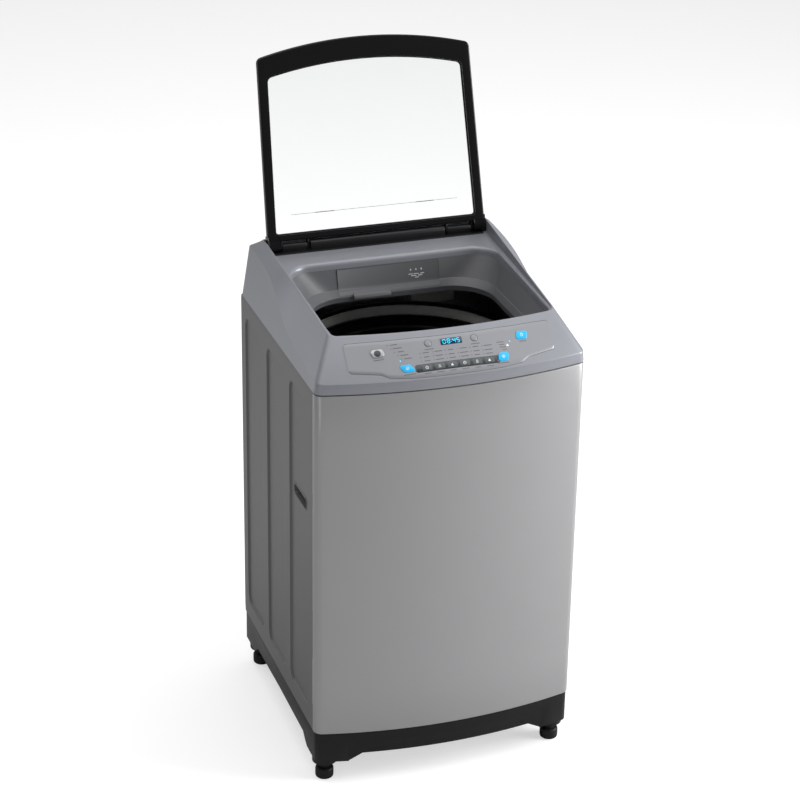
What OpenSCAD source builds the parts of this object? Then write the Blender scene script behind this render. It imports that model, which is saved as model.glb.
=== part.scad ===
// Top load washing machine with a glass lid, shown with its lid open.
// Millimetres. The origin is on the floor under the middle of the open machine,
// +Z is up, the front faces -Y and +X is to the right of a person facing the front.

/* [Cabinet] */
// Width of the cabinet
body_w = 600; // [560:1:660]
// Depth of the flat side walls, front corner to rear
side_depth = 573; // [540:1:620]
// How far the middle of the front bows out past its corners
front_bow = 39; // [25:1:48]
// Height of the lower edge of the steel panels
panel_z = 130; // [122:1:145]
// Height of the steel panels
panel_h = 819; // [800:1:1000]
// Thickness of the steel sheet
sheet_t = 1.0; // [0.7:0.1:1.5]
// Radius of the two upright front corners
corner_r = 20; // [10:1:22]
// Width of the folded flanges of the panels
flange_w = 14; // [10:1:18]
// Distance of the side seams behind the front corners
seam_back = 18; // [14:1:22]
// Offset of the middle of the side walls from the origin
mid_y = -12; // [-14:0.5:-8]

/* [Side fields and hand grips] */
// Width of one pressed field
field_w = 140; // [110:1:150]
// Spacing of the three fields
field_pitch = 175; // [165:1:180]
// Depth of the pressing
field_depth = 4; // [2:0.5:6]
// Height of the fields above the panel's lower edge
field_z = 40; // [30:1:60]
// Margin between the fields and the panel's top edge
field_top = 39; // [30:1:60]
// Corner radius of the fields
field_r = 25; // [15:1:35]
// Width of the hand grip
grip_w = 92; // [80:1:105]
// Height of the hand grip's mouth
grip_h = 27; // [22:1:34]
// Height of the hand grip's middle above the floor
grip_z = 658; // [600:1:720]
// Depth of the hand grip
grip_depth = 24; // [20:1:28]

/* [Base and feet] */
// Underside of the corner legs
leg_z = 57; // [50:1:62]
// Wall of the plastic base
base_wall = 4; // [3:0.5:5]
// Width of a corner leg
leg_w = 62; // [54:1:72]
// Height of the front arch
arch_z = 96; // [84:1:104]
// Distance of a foot's centre from the side wall
foot_inset = 31; // [29:1:34]
// Radius of a foot's pad
foot_r = 20.5; // [18:0.5:24]
// Radius of a foot's screw
foot_screw_r = 5; // [4:0.5:6]
// How far a foot screws out
foot_travel = 10; // [6:1:12]

/* [Top cover] */
// Height of the upright band of the top cover
band_h = 23; // [18:1:28]
// Slope of the control console
console_deg = 45; // [42:1:48]
// Length of the console's slope at its middle
console_len = 107.5; // [104:0.5:112]
// Slope of the rim towards the front
rim_deg = 5.5; // [5:0.1:6]
// Wall of the top cover
cover_t = 3; // [2.5:0.5:3.5]
// Height of the lid shelf's rear edge above the steel panels
shelf_h = 116; // [114:1:118]
// Slope of the lid shelf
shelf_deg = 2.35; // [2.2:0.05:2.6]
// Distance from the origin plane back to the shelf's rear reference line
shelf_y = 200; // [196:1:204]

/* [Loading mouth] */
// Width of the mouth
mouth_w = 484; // [460:1:488]
// Rear edge of the mouth
mouth_rear = 137; // [130:1:140]
// Radius of the mouth's rear corners
mouth_r = 57; // [45:1:65]
// Half width of the opening in the throat's floor
throat_half_w = 209; // [190:1:209]
// Rear edge of the opening in the throat's floor
throat_rear = 112; // [100:1:114]
// Rear corner radius of the opening in the throat's floor
throat_corner_r = 92; // [70:1:110]
// Depth of the throat under the shelf
throat_depth = 78; // [70:1:84]

/* [Lid] */
// Half width of the lid at its hinges
lid_half_rear = 256.5; // [250:0.5:257]
// Half width of the lid at its front corners
lid_half_front = 245; // [240:0.5:246]
// Length of the lid from the hinge axis to its front corners
lid_side_len = 416; // [405:1:418]
// Bow of the lid's front edge
lid_bow = 32; // [20:1:34]
// Thickness of the lid
lid_t = 18; // [14:1:20]
// Width of the lid's side rails
lid_rail = 20; // [16:1:28]
// Width of the lid's front rail
lid_front_rail = 48; // [40:1:56]
// Thickness of the glass
glass_t = 4; // [3:0.5:6]
// Angle that the open lid leans back
lid_lean = 15.7; // [8:0.1:18]
// Radius of the hinge pins
pin_r = 3; // [2.5:0.25:3.5]

/* [Wash unit] */
// Outer radius of the tub
tub_r = 262; // [250:1:265]
// Wall of the tub
tub_wall = 3; // [2.5:0.5:4]
// Underside of the tub
tub_z = 330; // [320:1:345]
// Top of the tub
tub_top = 900; // [880:1:915]
// Forward offset of the tub's axis from the middle of the sides
tub_cy = -12; // [-16:1:-8]
// Radial gap between the drum and the tub
drum_gap = 13; // [10:1:18]
// Gap between the drum's top and the tub's top
drum_top_gap = 26; // [20:1:34]
// Height of the balance ring
ring_h = 58; // [45:1:70]
// Radial width of the balance ring
ring_w = 33; // [25:1:38]
// Radius of the pulsator
pulsator_r = 165; // [140:1:180]
// Radius of the wash shaft
wash_shaft_r = 8; // [7:0.5:9]
// Wall of the hollow spin shaft
spin_wall = 4; // [3:0.5:5]
// Vertical travel of the wash unit each way
tub_travel = 12; // [8:1:14]

/* [Drive] */
// Radius of the drive pulley
pulley_r = 80; // [70:1:90]
// Radius of the motor pulley
motor_pulley_r = 25; // [20:1:28]
// Distance of the motor from the tub's axis
motor_dist = 170; // [160:1:178]
// Radius of the motor
motor_r = 66; // [60:1:72]
// Height of the motor
motor_h = 112; // [95:1:120]

/* [Console] */
// Thickness of the control fascia
fascia_t = 1.2; // [1:0.1:1.6]
// Width of the display
display_w = 48; // [40:1:60]
// Height of the display
display_h = 15; // [12:1:20]
// Spacing of the function keys
key_pitch = 27.5; // [24:0.5:30]
// Travel of the buttons
button_travel = 1.2; // [0.8:0.1:1.4]

/* [Detergent drawer] */
// Width of the drawer
drawer_w = 228; // [200:1:236]
// Middle of the drawer from the machine's middle
drawer_x = -17; // [-20:1:20]
// Length of the drawer
drawer_len = 112; // [100:1:116]
// Height of the drawer
drawer_h = 50; // [44:1:52]
// Distance that the drawer pulls out
drawer_travel = 90; // [70:1:95]

/* [Hidden] */
$fn = 64;

silver = [0.73, 0.74, 0.75];
side_grey = [0.52, 0.53, 0.54];
cover_grey = [0.47, 0.49, 0.52];
soft_black = [0.05, 0.05, 0.06];
steel = [0.70, 0.71, 0.72];
zinc = [0.62, 0.63, 0.64];
cyan_key = [0.05, 0.65, 0.85];
eps = 0.01;

// Clearances between pieces that move or fit together
run_gap = 0.05;
fit_gap = 0.3;
part_gap = 0.5;
lid_gap = 2;
lid_rest_gap = 1;

// Places that follow from the driving sizes
half_w = body_w / 2;
half_d = side_depth / 2;
front_y = -half_d;
rear_y = half_d;
bow_r = (half_w * half_w + front_bow * front_bow) / (2 * front_bow);
bow_cy = front_y - front_bow + bow_r;
corner_cy = bow_cy - sqrt(pow(bow_r - corner_r, 2) - pow(half_w - corner_r, 2));
corner_deg = asin((half_w - corner_r) / (bow_r - corner_r));
seam_y = front_y + seam_back;
panel_top = panel_z + panel_h;
band_top = panel_top + band_h;

// ---------- shared shapes ----------

// Moves the machine so that the origin is under its middle
module on_floor() translate([0, mid_y, 0]) children();

// Outline of the cabinet, drawn in by inset all round
module plan(inset = 0) {
    if (inset < corner_r) {
        translate([-(half_w - inset), corner_cy])
            square([body_w - 2 * inset, rear_y - inset - corner_cy]);
        intersection() {
            translate([0, bow_cy]) circle(bow_r - inset, $fn = 400);
            polygon([
                [half_w - corner_r, corner_cy],
                [-half_w + corner_r, corner_cy],
                [-2 * bow_r * sin(corner_deg), bow_cy - 2 * bow_r * cos(corner_deg)],
                [2 * bow_r * sin(corner_deg), bow_cy - 2 * bow_r * cos(corner_deg)]
            ]);
        }
        for (side = [-1, 1])
            translate([side * (half_w - corner_r), corner_cy]) circle(corner_r - inset);
    } else {
        intersection() {
            translate([0, bow_cy]) circle(bow_r - inset, $fn = 400);
            translate([-(half_w - inset), rear_y - inset - body_w * 2])
                square([body_w - 2 * inset, body_w * 2]);
        }
    }
}

// Ring of wall thickness t that starts inset inside the cabinet's outline
module plan_ring(t, inset = 0) {
    difference() {
        plan(inset);
        plan(inset + t);
    }
}

// Flat bar with rounded corners, centred
module rounded_bar(w, h, r) {
    square([w - 2 * r, h], center = true);
    if (h > 2 * r) square([w, h - 2 * r], center = true);
    for (x = [-1, 1], y = [-1, 1])
        translate([x * (w / 2 - r), y * (h / 2 - r)]) circle(r, $fn = 32);
}

// Round tube standing on the XY plane
module tube(r_out, r_in, h) {
    difference() {
        cylinder(r = r_out, h = h);
        translate([0, 0, -1]) cylinder(r = r_in, h = h + 2);
    }
}

// ---------- steel panels ----------

module front_zone() {
    translate([-body_w, -body_w * 2]) square([body_w * 2, body_w * 2 + seam_y]);
}

module front_panel() {
    color(silver) on_floor() translate([0, 0, panel_z]) {
        linear_extrude(panel_h) intersection() {
            plan_ring(sheet_t);
            front_zone();
        }
        for (z = [0, panel_h - sheet_t])
            translate([0, 0, z]) linear_extrude(sheet_t) intersection() {
                plan_ring(flange_w);
                front_zone();
            }
    }
}

field_h = panel_h - field_z - field_top;
field_mid_z = panel_z + field_z + field_h / 2;
field_mid_y = (seam_y + rear_y) / 2 + 1;

// Outline of one pressed field in the side wall's plane (Y, Z)
module on_side_wall(y, z) {
    translate([half_w, y, z]) rotate([90, 0, 90]) children();
}

module side_panel() {
    side_len = rear_y - seam_y;
    grip_y = field_mid_y - field_pitch;
    difference() {
        union() {
            translate([half_w - sheet_t, seam_y, panel_z]) cube([sheet_t, side_len, panel_h]);
            for (i = [-1, 0, 1])
                on_side_wall(field_mid_y + i * field_pitch, field_mid_z)
                    translate([0, 0, -field_depth - sheet_t]) linear_extrude(field_depth + sheet_t)
                        rounded_bar(field_w, field_h, field_r);
            translate([half_w - flange_w, rear_y - sheet_t, panel_z]) cube([flange_w, sheet_t, panel_h]);
            for (z = [panel_z, panel_top - sheet_t])
                translate([half_w - flange_w, seam_y, z]) cube([flange_w, side_len, sheet_t]);
        }
        for (i = [-1, 0, 1])
            on_side_wall(field_mid_y + i * field_pitch, field_mid_z)
                translate([0, 0, -field_depth]) linear_extrude(field_depth + 1)
                    rounded_bar(field_w - 2 * sheet_t, field_h - 2 * sheet_t, field_r - sheet_t);
        on_side_wall(grip_y, grip_z) translate([0, 0, -flange_w]) linear_extrude(2 * flange_w)
            rounded_bar(grip_w, grip_h, grip_h / 2 - 2);
        for (z = screw_rows) rear_hole(seam_screw_x, panel_z + z, screw_r);
    }
}

module right_side_panel() { color(side_grey) on_floor() side_panel(); }
module left_side_panel() { color(side_grey) on_floor() mirror([1, 0, 0]) side_panel(); }

// Cup behind the grip's mouth, with a hooked upper lip for the fingers
module hand_grip() {
    grip_y = field_mid_y - field_pitch;
    wall = 2;
    on_side_wall(grip_y, grip_z) difference() {
        union() {
            translate([0, 0, -field_depth - sheet_t - grip_depth])
                linear_extrude(grip_depth) rounded_bar(grip_w + 2 * wall, grip_h + 2 * wall, grip_h / 2);
            translate([0, 0, -field_depth - sheet_t - grip_depth]) linear_extrude(grip_depth + sheet_t)
                rounded_bar(grip_w - fit_gap, grip_h - fit_gap, grip_h / 2 - 2 - fit_gap / 2);
        }
        translate([0, 0, -field_depth - sheet_t - grip_depth + wall]) linear_extrude(grip_depth * 2)
            rounded_bar(grip_w - 2 * wall, grip_h - 2 * wall, grip_h / 2 - 2 - wall);
    }
}

module hand_grip_right() { color(side_grey) on_floor() hand_grip(); }
module hand_grip_left() { color(side_grey) on_floor() mirror([1, 0, 0]) hand_grip(); }

// ---------- rear ----------

rear_w = body_w - 2 * sheet_t - 2 * part_gap;
rear_in_y = rear_y - 2 * sheet_t;
access_w = 330;
access_h = 300;
access_z = panel_z + 60;
valve_x = 150;
valve_z = 905;
inlet_pitch = 56;
inlet_r = 13.2;
inlet_len = 14;
gland_x = 246;
gland_z = 840;
gland_bore_r = 4;
drain_x = -215;
drain_z = 175;
drain_r = 15;
drain_len = 28;
screw_r = 2;
screw_head_r = 4.2;
seam_screw_x = half_w - flange_w / 2 - 1;
screw_rows = [40, 300, 560, panel_h - 40];
access_screw_x = access_w / 2 - 6;
access_screw_rows = [14, access_h - 14];

// Drills a row of upright-wall holes of radius r through the rear wall
module rear_hole(x, z, r) {
    translate([x, rear_y - 20, z]) rotate([-90, 0, 0]) cylinder(r = r, h = 40);
}

// Holes for the screws of the access cover
module access_holes() {
    for (x = [-access_screw_x, access_screw_x], z = access_screw_rows) rear_hole(x, access_z + z, screw_r);
}

module rear_panel() {
    color(zinc) on_floor() difference() {
        union() {
            translate([-rear_w / 2, rear_in_y, panel_z + sheet_t]) cube([rear_w, sheet_t, panel_h - 2 * sheet_t]);
            for (x = [-190, 190])
                translate([x - 30, rear_in_y - 5, access_z + access_h + 60]) cube([60, 5, 320]);
        }
        for (x = [-190, 190])
            translate([x - 29, rear_in_y - 4, access_z + access_h + 61]) cube([58, 10, 318]);
        translate([-access_w / 2 + 12, rear_in_y - 1, access_z + 12])
            cube([access_w - 24, sheet_t + 2, access_h - 24]);
        for (side = [-1, 1])
            rear_hole(valve_x + side * inlet_pitch / 2, valve_z, inlet_r + 2);
        rear_hole(gland_x, gland_z, 8);
        rear_hole(drain_x, drain_z, drain_r + 1);
        for (x = [-seam_screw_x, seam_screw_x], z = screw_rows) rear_hole(x, panel_z + z, screw_r);
        access_holes();
    }
}

module rear_access_cover() {
    color(zinc) on_floor() difference() {
        union() {
            translate([-access_w / 2, rear_y - sheet_t, access_z]) cube([access_w, sheet_t, access_h]);
            for (i = [0:4])
                translate([-100, rear_y, access_z + 60 + i * 42]) cube([200, 2, 12]);
        }
        access_holes();
    }
}

// Pan-head screw with its head's seat at the origin, shank towards -Y
module screw() {
    rotate([90, 0, 0]) cylinder(r = screw_r - 0.2, h = 9, $fn = 24);
    rotate([-90, 0, 0]) difference() {
        cylinder(r = screw_head_r, h = 2.2, $fn = 32);
        translate([0, 0, 1.2]) rotate([0, 0, 45]) cube([1, 5, 3], center = true);
        translate([0, 0, 1.2]) rotate([0, 0, -45]) cube([1, 5, 3], center = true);
    }
}

module panel_screws() {
    color(steel) on_floor() {
        for (x = [-seam_screw_x, seam_screw_x], z = screw_rows) translate([x, rear_y, panel_z + z]) screw();
        for (x = [-access_screw_x, access_screw_x], z = access_screw_rows)
            translate([x, rear_y, access_z + z]) screw();
    }
}

module cord_gland() {
    color(soft_black) on_floor() translate([gland_x, rear_in_y, gland_z]) rotate([-90, 0, 0])
        difference() {
            union() {
                translate([0, 0, -8]) cylinder(r = 12, h = 8);
                cylinder(r = 7.7, h = 8);
                translate([0, 0, sheet_t]) cylinder(r = 11, h = 9);
            }
            translate([0, 0, -9]) cylinder(r = gland_bore_r, h = 30);
        }
}

module drain_outlet() {
    color(soft_black) on_floor() translate([drain_x, rear_in_y, drain_z]) rotate([-90, 0, 0])
        difference() {
            union() {
                translate([0, 0, -40]) cylinder(r = drain_r, h = 40 + drain_len);
                translate([0, 0, -4]) cylinder(r = drain_r + 8, h = 4);
            }
            translate([0, 0, -41]) cylinder(r = drain_r - 2.5, h = 42 + drain_len);
        }
}

module inlet_valve() {
    color([0.85, 0.86, 0.84]) on_floor() translate([valve_x, rear_in_y, valve_z]) difference() {
        union() {
            translate([-52, -24, -20]) cube([104, 24, 40]);
            for (side = [-1, 1]) translate([side * inlet_pitch / 2, 0, 0]) {
                rotate([-90, 0, 0]) cylinder(r = inlet_r, h = 2 * sheet_t + inlet_len);
                translate([0, -12, 20 - eps]) cylinder(r = 11, h = 20);
            }
        }
        for (side = [-1, 1])
            translate([side * inlet_pitch / 2, -10, 0]) rotate([-90, 0, 0]) cylinder(r = 9, h = 40);
    }
}

// ---------- base and feet ----------

foot_x = half_w - foot_inset;
foot_y = half_d - foot_inset;
boss_r = 27.5;
boss_z = 42;
pad_h = 26;
screw_top = leg_z + 30;

// Solid that clears the space between the legs, seen from the front
module arch_cut(span) {
    rotate([90, 0, 0]) linear_extrude(body_w * 2, center = true) polygon([
        [-span - 55, boss_z - 5],
        [-span - 50, leg_z + 2],
        [-span - 14, arch_z - 16],
        [-span, arch_z - 3],
        [0, arch_z],
        [span, arch_z - 3],
        [span + 14, arch_z - 16],
        [span + 50, leg_z + 2],
        [span + 55, boss_z - 5]
    ]);
}

// Squares over the four corner legs
module leg_squares() {
    for (x = [-foot_x, foot_x], y = [-foot_y, foot_y])
        translate([x, y]) square(leg_w, center = true);
}

module base_frame() {
    skirt_inset = 2;
    rim_t = 12;
    rim_w = 30;
    inner_drop = 22;
    inner_t = 4;
    inner_z = arch_z - inner_drop;
    inner_w = half_w - leg_w / 2;
    color(soft_black) on_floor() {
        translate([0, 0, inner_z]) linear_extrude(panel_z - rim_t / 2 - inner_z) intersection() {
            difference() {
                plan(skirt_inset + base_wall - 0.5);
                plan(skirt_inset + base_wall + inner_t);
            }
            translate([-inner_w, front_y - front_bow - 1]) square([2 * inner_w, front_bow + 2 * leg_w / 3]);
        }
        difference() {
            translate([0, 0, leg_z]) linear_extrude(panel_z - leg_z) plan(skirt_inset);
            translate([0, 0, leg_z - 1]) linear_extrude(panel_z - leg_z - rim_t + 1) difference() {
                plan(skirt_inset + base_wall);
                leg_squares();
            }
            translate([0, 0, leg_z - 1]) linear_extrude(panel_z) plan(skirt_inset + rim_w);
            arch_cut(half_w - 2 * leg_w);
            rotate([0, 0, 90]) translate([0, 0, -14]) arch_cut(half_d - 1.6 * leg_w);
            for (x = [-foot_x, foot_x], y = [-foot_y, foot_y])
                translate([x, y, leg_z - 1]) cylinder(r = foot_screw_r + fit_gap, h = panel_z);
        }
        for (x = [-foot_x, foot_x], y = [-foot_y, foot_y])
            translate([x, y, boss_z]) tube(boss_r, foot_screw_r + fit_gap, leg_z - boss_z);
    }
}

module foot(side_x, side_y) {
    color(soft_black) on_floor() translate([side_x * foot_x, side_y * foot_y, 0]) {
        cylinder(r1 = foot_r - 1.5, r2 = foot_r, h = 3);
        translate([0, 0, 3]) cylinder(r = foot_r, h = pad_h - 3);
        translate([0, 0, pad_h]) cylinder(r = 12, h = boss_z - pad_h - fit_gap, $fn = 6);
        translate([0, 0, pad_h]) cylinder(r = foot_screw_r, h = screw_top - pad_h);
    }
}

module foot_front_left() { foot(-1, -1); }
module foot_front_right() { foot(1, -1); }
module foot_rear_left() { foot(-1, 1); }
module foot_rear_right() { foot(1, 1); }

// ---------- top cover ----------

console_r = (pow(half_w, 2) + pow(front_bow * sin(console_deg), 2)) / (2 * front_bow * sin(console_deg));
rim_front_y = front_y - front_bow + console_len * cos(console_deg);
rim_front_z = band_top + console_len * sin(console_deg);
shelf_z = panel_top + shelf_h;
rim_front_half = 250;
far = 1500;

// Frame of the control console: X across, Y up the slope, Z out of the surface
module on_console() {
    translate([0, front_y - front_bow, band_top]) rotate([console_deg, 0, 0]) children();
}

// Puts a piece on the console's curved surface at x across and s up the slope
module on_panel(x, s) {
    on_console() translate([0, 0, -console_r]) rotate([0, asin(x / console_r), 0])
        translate([0, s, console_r]) children();
}

// Frame of the lid shelf: Y runs back along its slope, Z is square to it
module on_shelf() {
    translate([0, shelf_y, shelf_z]) rotate([shelf_deg, 0, 0]) children();
}

rim_len = 458;
rim_rear_half = 262;
deck_half = 283;
deck_y = 262;
shoulder_half = half_w - 4;
shoulder_z = panel_top + 98;
slab_t = 1;

// Outline of the rim in its own sloping plane, its bowed front edge at the origin
module rim_outline(inset) {
    intersection() {
        translate([0, bow_r + inset]) circle(bow_r, $fn = 400);
        polygon([
            [-rim_front_half + inset, 0],
            [rim_front_half - inset, 0],
            [rim_rear_half - inset, rim_len],
            [-rim_rear_half + inset, rim_len]
        ]);
    }
}

// Outer form of the top cover, drawn in by inset and starting at a height
module cover_form(inset, start) {
    deck_z = shelf_z + 12;
    hull() {
        translate([0, 0, start]) linear_extrude(band_top - start - inset / 3) plan(inset);
        translate([0, rim_front_y, rim_front_z]) rotate([rim_deg, 0, 0])
            translate([0, 0, -inset - slab_t]) linear_extrude(slab_t) rim_outline(inset * 1.3);
        translate([-deck_half + inset, deck_y - 40, deck_z - inset - slab_t])
            cube([2 * (deck_half - inset), 40 - inset, slab_t]);
        translate([-shoulder_half + inset, deck_y - 50, shoulder_z - slab_t])
            cube([2 * (shoulder_half - inset), rear_y - deck_y + 50 - inset, slab_t]);
    }
}

recess_rear = 46;
recess_front = -console_len * 4.6;
recess_half_rear = lid_half_rear + lid_gap;
recess_half_front = lid_half_front + lid_gap;

// Outline of the lid recess in the shelf's frame, grown by g
module recess_outline(g = 0) {
    polygon([
        [-recess_half_rear - g, recess_rear + g],
        [recess_half_rear + g, recess_rear + g],
        [recess_half_front + g, recess_front],
        [-recess_half_front - g, recess_front]
    ]);
}

// Outline of the loading mouth, drawn in by inset
module mouth_outline(inset = 0) {
    w = mouth_w / 2 - inset;
    rear = mouth_rear - inset;
    front_r = 13;
    mouth_front = rim_front_y + 4 + inset;
    intersection() {
        union() {
            translate([-w, -half_d]) square([2 * w, half_d + rear - mouth_r]);
            for (side = [-1, 1]) translate([side * (w - mouth_r), rear - mouth_r]) circle(mouth_r);
            translate([-(w - mouth_r), 0]) square([2 * (w - mouth_r), rear]);
        }
        translate([0, mouth_front + bow_r]) circle(bow_r, $fn = 200);
        translate([-w, mouth_front]) square([2 * w, half_d * 2]);
    }
}

// Outline of the opening in the throat's floor
module throat_outline() {
    ledge = 11;
    side = throat_half_w - throat_corner_r;
    intersection() {
        union() {
            translate([-throat_half_w, -half_d]) square([2 * throat_half_w, half_d + throat_rear - throat_corner_r]);
            for (x = [-side, side]) translate([x, throat_rear - throat_corner_r]) circle(throat_corner_r, $fn = 96);
            translate([-side, 0]) square([2 * side, throat_rear]);
        }
        translate([0, rim_front_y + 4 + ledge + bow_r]) circle(bow_r, $fn = 200);
    }
}

module fascia_outline(g = 0) {
    w_top = 228 + g;
    polygon([
        [-w_top, 106 + g],
        [-w_top + 1, 39.5 - g],
        [-164 - g, 26 - g],
        [-146 - g, 15 - g],
        [-100, 8 - g],
        [-50, 5.5 - g],
        [0, 4.8 - g],
        [50, 5.5 - g],
        [100, 8 - g],
        [146 + g, 15 - g],
        [164 + g, 26 - g],
        [w_top - 1, 39.5 - g],
        [w_top, 106 + g],
        [150, 99 + g],
        [75, 95 + g],
        [0, 93.5 + g],
        [-75, 95 + g],
        [-150, 99 + g]
    ]);
}

// Shell over the console between two depths under its surface
module console_shell(depth_out, depth_in) {
    on_console() translate([0, -20, -console_r]) rotate([-90, 0, 0]) difference() {
        cylinder(r = console_r - depth_out, h = 150, $fn = 200);
        translate([0, 0, -1]) cylinder(r = console_r - depth_in, h = 152, $fn = 200);
    }
}

module over_console(outline_h = 90) {
    on_console() translate([0, 0, -50]) linear_extrude(outline_h) children();
}

module top_cover() {
    color(cover_grey) on_floor() difference() {
        cover_form(0, panel_top);
        difference() {
            cover_form(cover_t, panel_top - 10);
            on_shelf() translate([0, 0, -cover_t]) linear_extrude(90) recess_outline(cover_t);
        }
        on_shelf() linear_extrude(90) recess_outline();
        translate([0, 0, panel_top - 5]) linear_extrude(200) mouth_outline(0);
        intersection() {
            console_shell(-1, fascia_t);
            over_console() fascia_outline(part_gap);
        }
        console_holes(part_gap * 2);
        on_console() translate([-display_w / 2 - 3, 66, -20]) cube([display_w + 6, display_h + 6, 30]);
    }
}

module throat_ring() {
    lip = 2.5;
    z_low = shelf_z - throat_depth;
    color(cover_grey) on_floor() difference() {
        union() {
            intersection() {
                translate([0, 0, z_low]) linear_extrude(throat_depth) mouth_outline(fit_gap);
                on_shelf() translate([-far, -far, -far - cover_t]) cube([2 * far, 2 * far, far]);
            }
            intersection() {
                translate([0, 0, z_low]) linear_extrude(throat_depth) intersection() {
                    mouth_outline(-5);
                    translate([-half_w, rim_front_y + 34]) square([body_w, side_depth]);
                }
                on_shelf() translate([-far, -far, -cover_t - 3 - fit_gap]) cube([2 * far, 2 * far, 3]);
            }
        }
        translate([0, 0, z_low + lip]) linear_extrude(throat_depth) mouth_outline(fit_gap + lip);
        translate([0, 0, z_low - 1]) linear_extrude(10) throat_outline();
        drawer_window(part_gap * 2);
    }
}

module hinge_cover() {
    bar_half = lid_half_rear - 4;
    color(soft_black) on_floor() on_shelf() difference() {
        union() {
            translate([-bar_half, 0, 0]) cube([2 * bar_half, 10, 7]);
            translate([-bar_half, 0, 0]) cube([2 * bar_half, 40, 2.5]);
            for (side = [-1, 1]) translate([side * hinge_x, hinge_y, hinge_z]) {
                rotate([0, 90, 0]) cylinder(r = knuckle_r, h = knuckle_w, center = true);
                translate([-knuckle_w / 2, -6, -hinge_z]) cube([knuckle_w, 12, hinge_z]);
            }
        }
        for (side = [-1, 1]) translate([side * hinge_x, hinge_y, hinge_z]) rotate([0, 90, 0])
            cylinder(r = pin_r + run_gap, h = knuckle_w + 2, center = true);
    }
}

// ---------- lid ----------

hinge_x = 218;
hinge_y = 22;
hinge_z = 11.5;
knuckle_r = 8;
knuckle_w = 56;
lid_under = -hinge_z + lid_rest_gap;
lid_start = 13;
ear_w = 5;
ear_gap = 0.5;

// Frame of the lid: origin on the hinge axis, -Y towards its front edge, Z out of its top
module on_lid() {
    on_shelf() translate([0, hinge_y, hinge_z]) rotate([-(90 + lid_lean + shelf_deg), 0, 0]) children();
}

lid_arc_r = (pow(lid_half_front, 2) + pow(lid_bow, 2)) / (2 * lid_bow);

// Outline of the lid in its own frame, drawn in by inset, starting at y = -start
module lid_outline(start, inset = 0, front_inset = 0) {
    corner = 24;
    tip = lid_side_len + lid_bow - front_inset;
    offset(r = corner, $fn = 64) offset(delta = -corner) intersection() {
        polygon([
            [-lid_half_rear + inset, 40],
            [lid_half_rear - inset, 40],
            [lid_half_front - inset, -tip],
            [-lid_half_front + inset, -tip]
        ]);
        translate([0, -tip + lid_arc_r]) circle(lid_arc_r, $fn = 160);
    }
}

module lid_frame() {
    window_start = 36;
    color(soft_black) on_floor() on_lid() {
        difference() {
            translate([0, 0, lid_under]) linear_extrude(lid_t) difference() {
                lid_outline(0);
                translate([-far, -lid_start]) square([2 * far, 100]);
            }
            translate([0, 0, lid_under - 1]) linear_extrude(lid_t + 2) intersection() {
                lid_outline(0, lid_rail, lid_front_rail);
                translate([-far, -far]) square([2 * far, far - window_start]);
            }
            translate([0, 0, lid_under + lid_t - glass_t - 3]) linear_extrude(glass_t + 2 * fit_gap)
                glass_outline(fit_gap);
            translate([-far, -30, lid_under - 1]) cube([2 * far, 40, 7.5]);
            for (side = [-1, 1]) translate([side * hinge_x - knuckle_w / 2 - ear_gap, -lid_start - 8, -20])
                cube([knuckle_w + 2 * ear_gap, 30, 40]);
        }
        for (side = [-1, 1], end = [-1, 1])
            translate([side * hinge_x + end * (knuckle_w / 2 + ear_gap + ear_w / 2), 0, 0]) difference() {
                union() {
                    rotate([0, 90, 0]) cylinder(r = 6.5, h = ear_w, center = true);
                    translate([-ear_w / 2, -lid_start - 2, -3]) cube([ear_w, lid_start + 2, 9.5]);
                }
                rotate([0, 90, 0]) cylinder(r = pin_r, h = ear_w + 2, center = true);
            }
    }
}

module glass_outline(g = 0) {
    seat = 7;
    intersection() {
        lid_outline(0, lid_rail - seat - g, lid_front_rail - seat - g);
        translate([-far, -far]) square([2 * far, far - 36 + seat + g]);
    }
}

module lid_glass() {
    color([0.85, 0.93, 0.93, 0.35]) on_floor() on_lid()
        translate([0, 0, lid_under + lid_t - glass_t - 3 + fit_gap]) linear_extrude(glass_t) glass_outline(0);
}

module lid_hinge_pins() {
    pin_len = knuckle_w + 2 * ear_gap + 2 * ear_w;
    color(steel) on_floor() on_lid() for (side = [-1, 1])
        translate([side * hinge_x, 0, 0]) rotate([0, 90, 0]) cylinder(r = pin_r, h = pin_len, center = true);
}

module lid_lock() {
    color([0.8, 0.8, 0.78]) on_floor() translate([half_w - 50, 150, shelf_z - 52]) difference() {
        cube([18, 45, 36]);
        translate([5, 8, -1]) cube([8, 28, 30]);
    }
}

// ---------- console pieces ----------

// Outline of each pressed button by its width, height and corner radius
cyan_w = 26;
cyan_h = 18;
cyan_r = 5;
oval_w = 32;
oval_h = 18;
dial_r = 9;
key_w = 22;
key_h = 12;
key_s = 27;

module cyan_outline(g = 0) { rounded_bar(cyan_w + 2 * g, cyan_h + 2 * g, cyan_r); }
module oval_outline(g = 0) { rounded_bar(oval_w + 2 * g, oval_h + 2 * g, oval_h / 2 + g); }
module dial_outline(g = 0) { circle(dial_r + g); }
module key_outline(g = 0) { rounded_bar(key_w + 2 * g, key_h + 2 * g, 3); }

// Holes through the console for the buttons' stems, each g wider than its button
module console_holes(g) {
    on_panel(158, 75.5) translate([0, 0, -20]) linear_extrude(40) cyan_outline(g);
    for (x = [-106, 106]) on_panel(x, 31) translate([0, 0, -20]) linear_extrude(40) cyan_outline(g);
    on_panel(-161, 72.5) translate([0, 0, -20]) linear_extrude(40) oval_outline(g);
    for (x = [-51, 51]) on_panel(x, 79.5) translate([0, 0, -20]) linear_extrude(40) dial_outline(g);
    for (i = [0:5])
        on_panel((i - 2.5) * key_pitch + 4, key_s) translate([0, 0, -20]) linear_extrude(40) key_outline(g);
}

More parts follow.
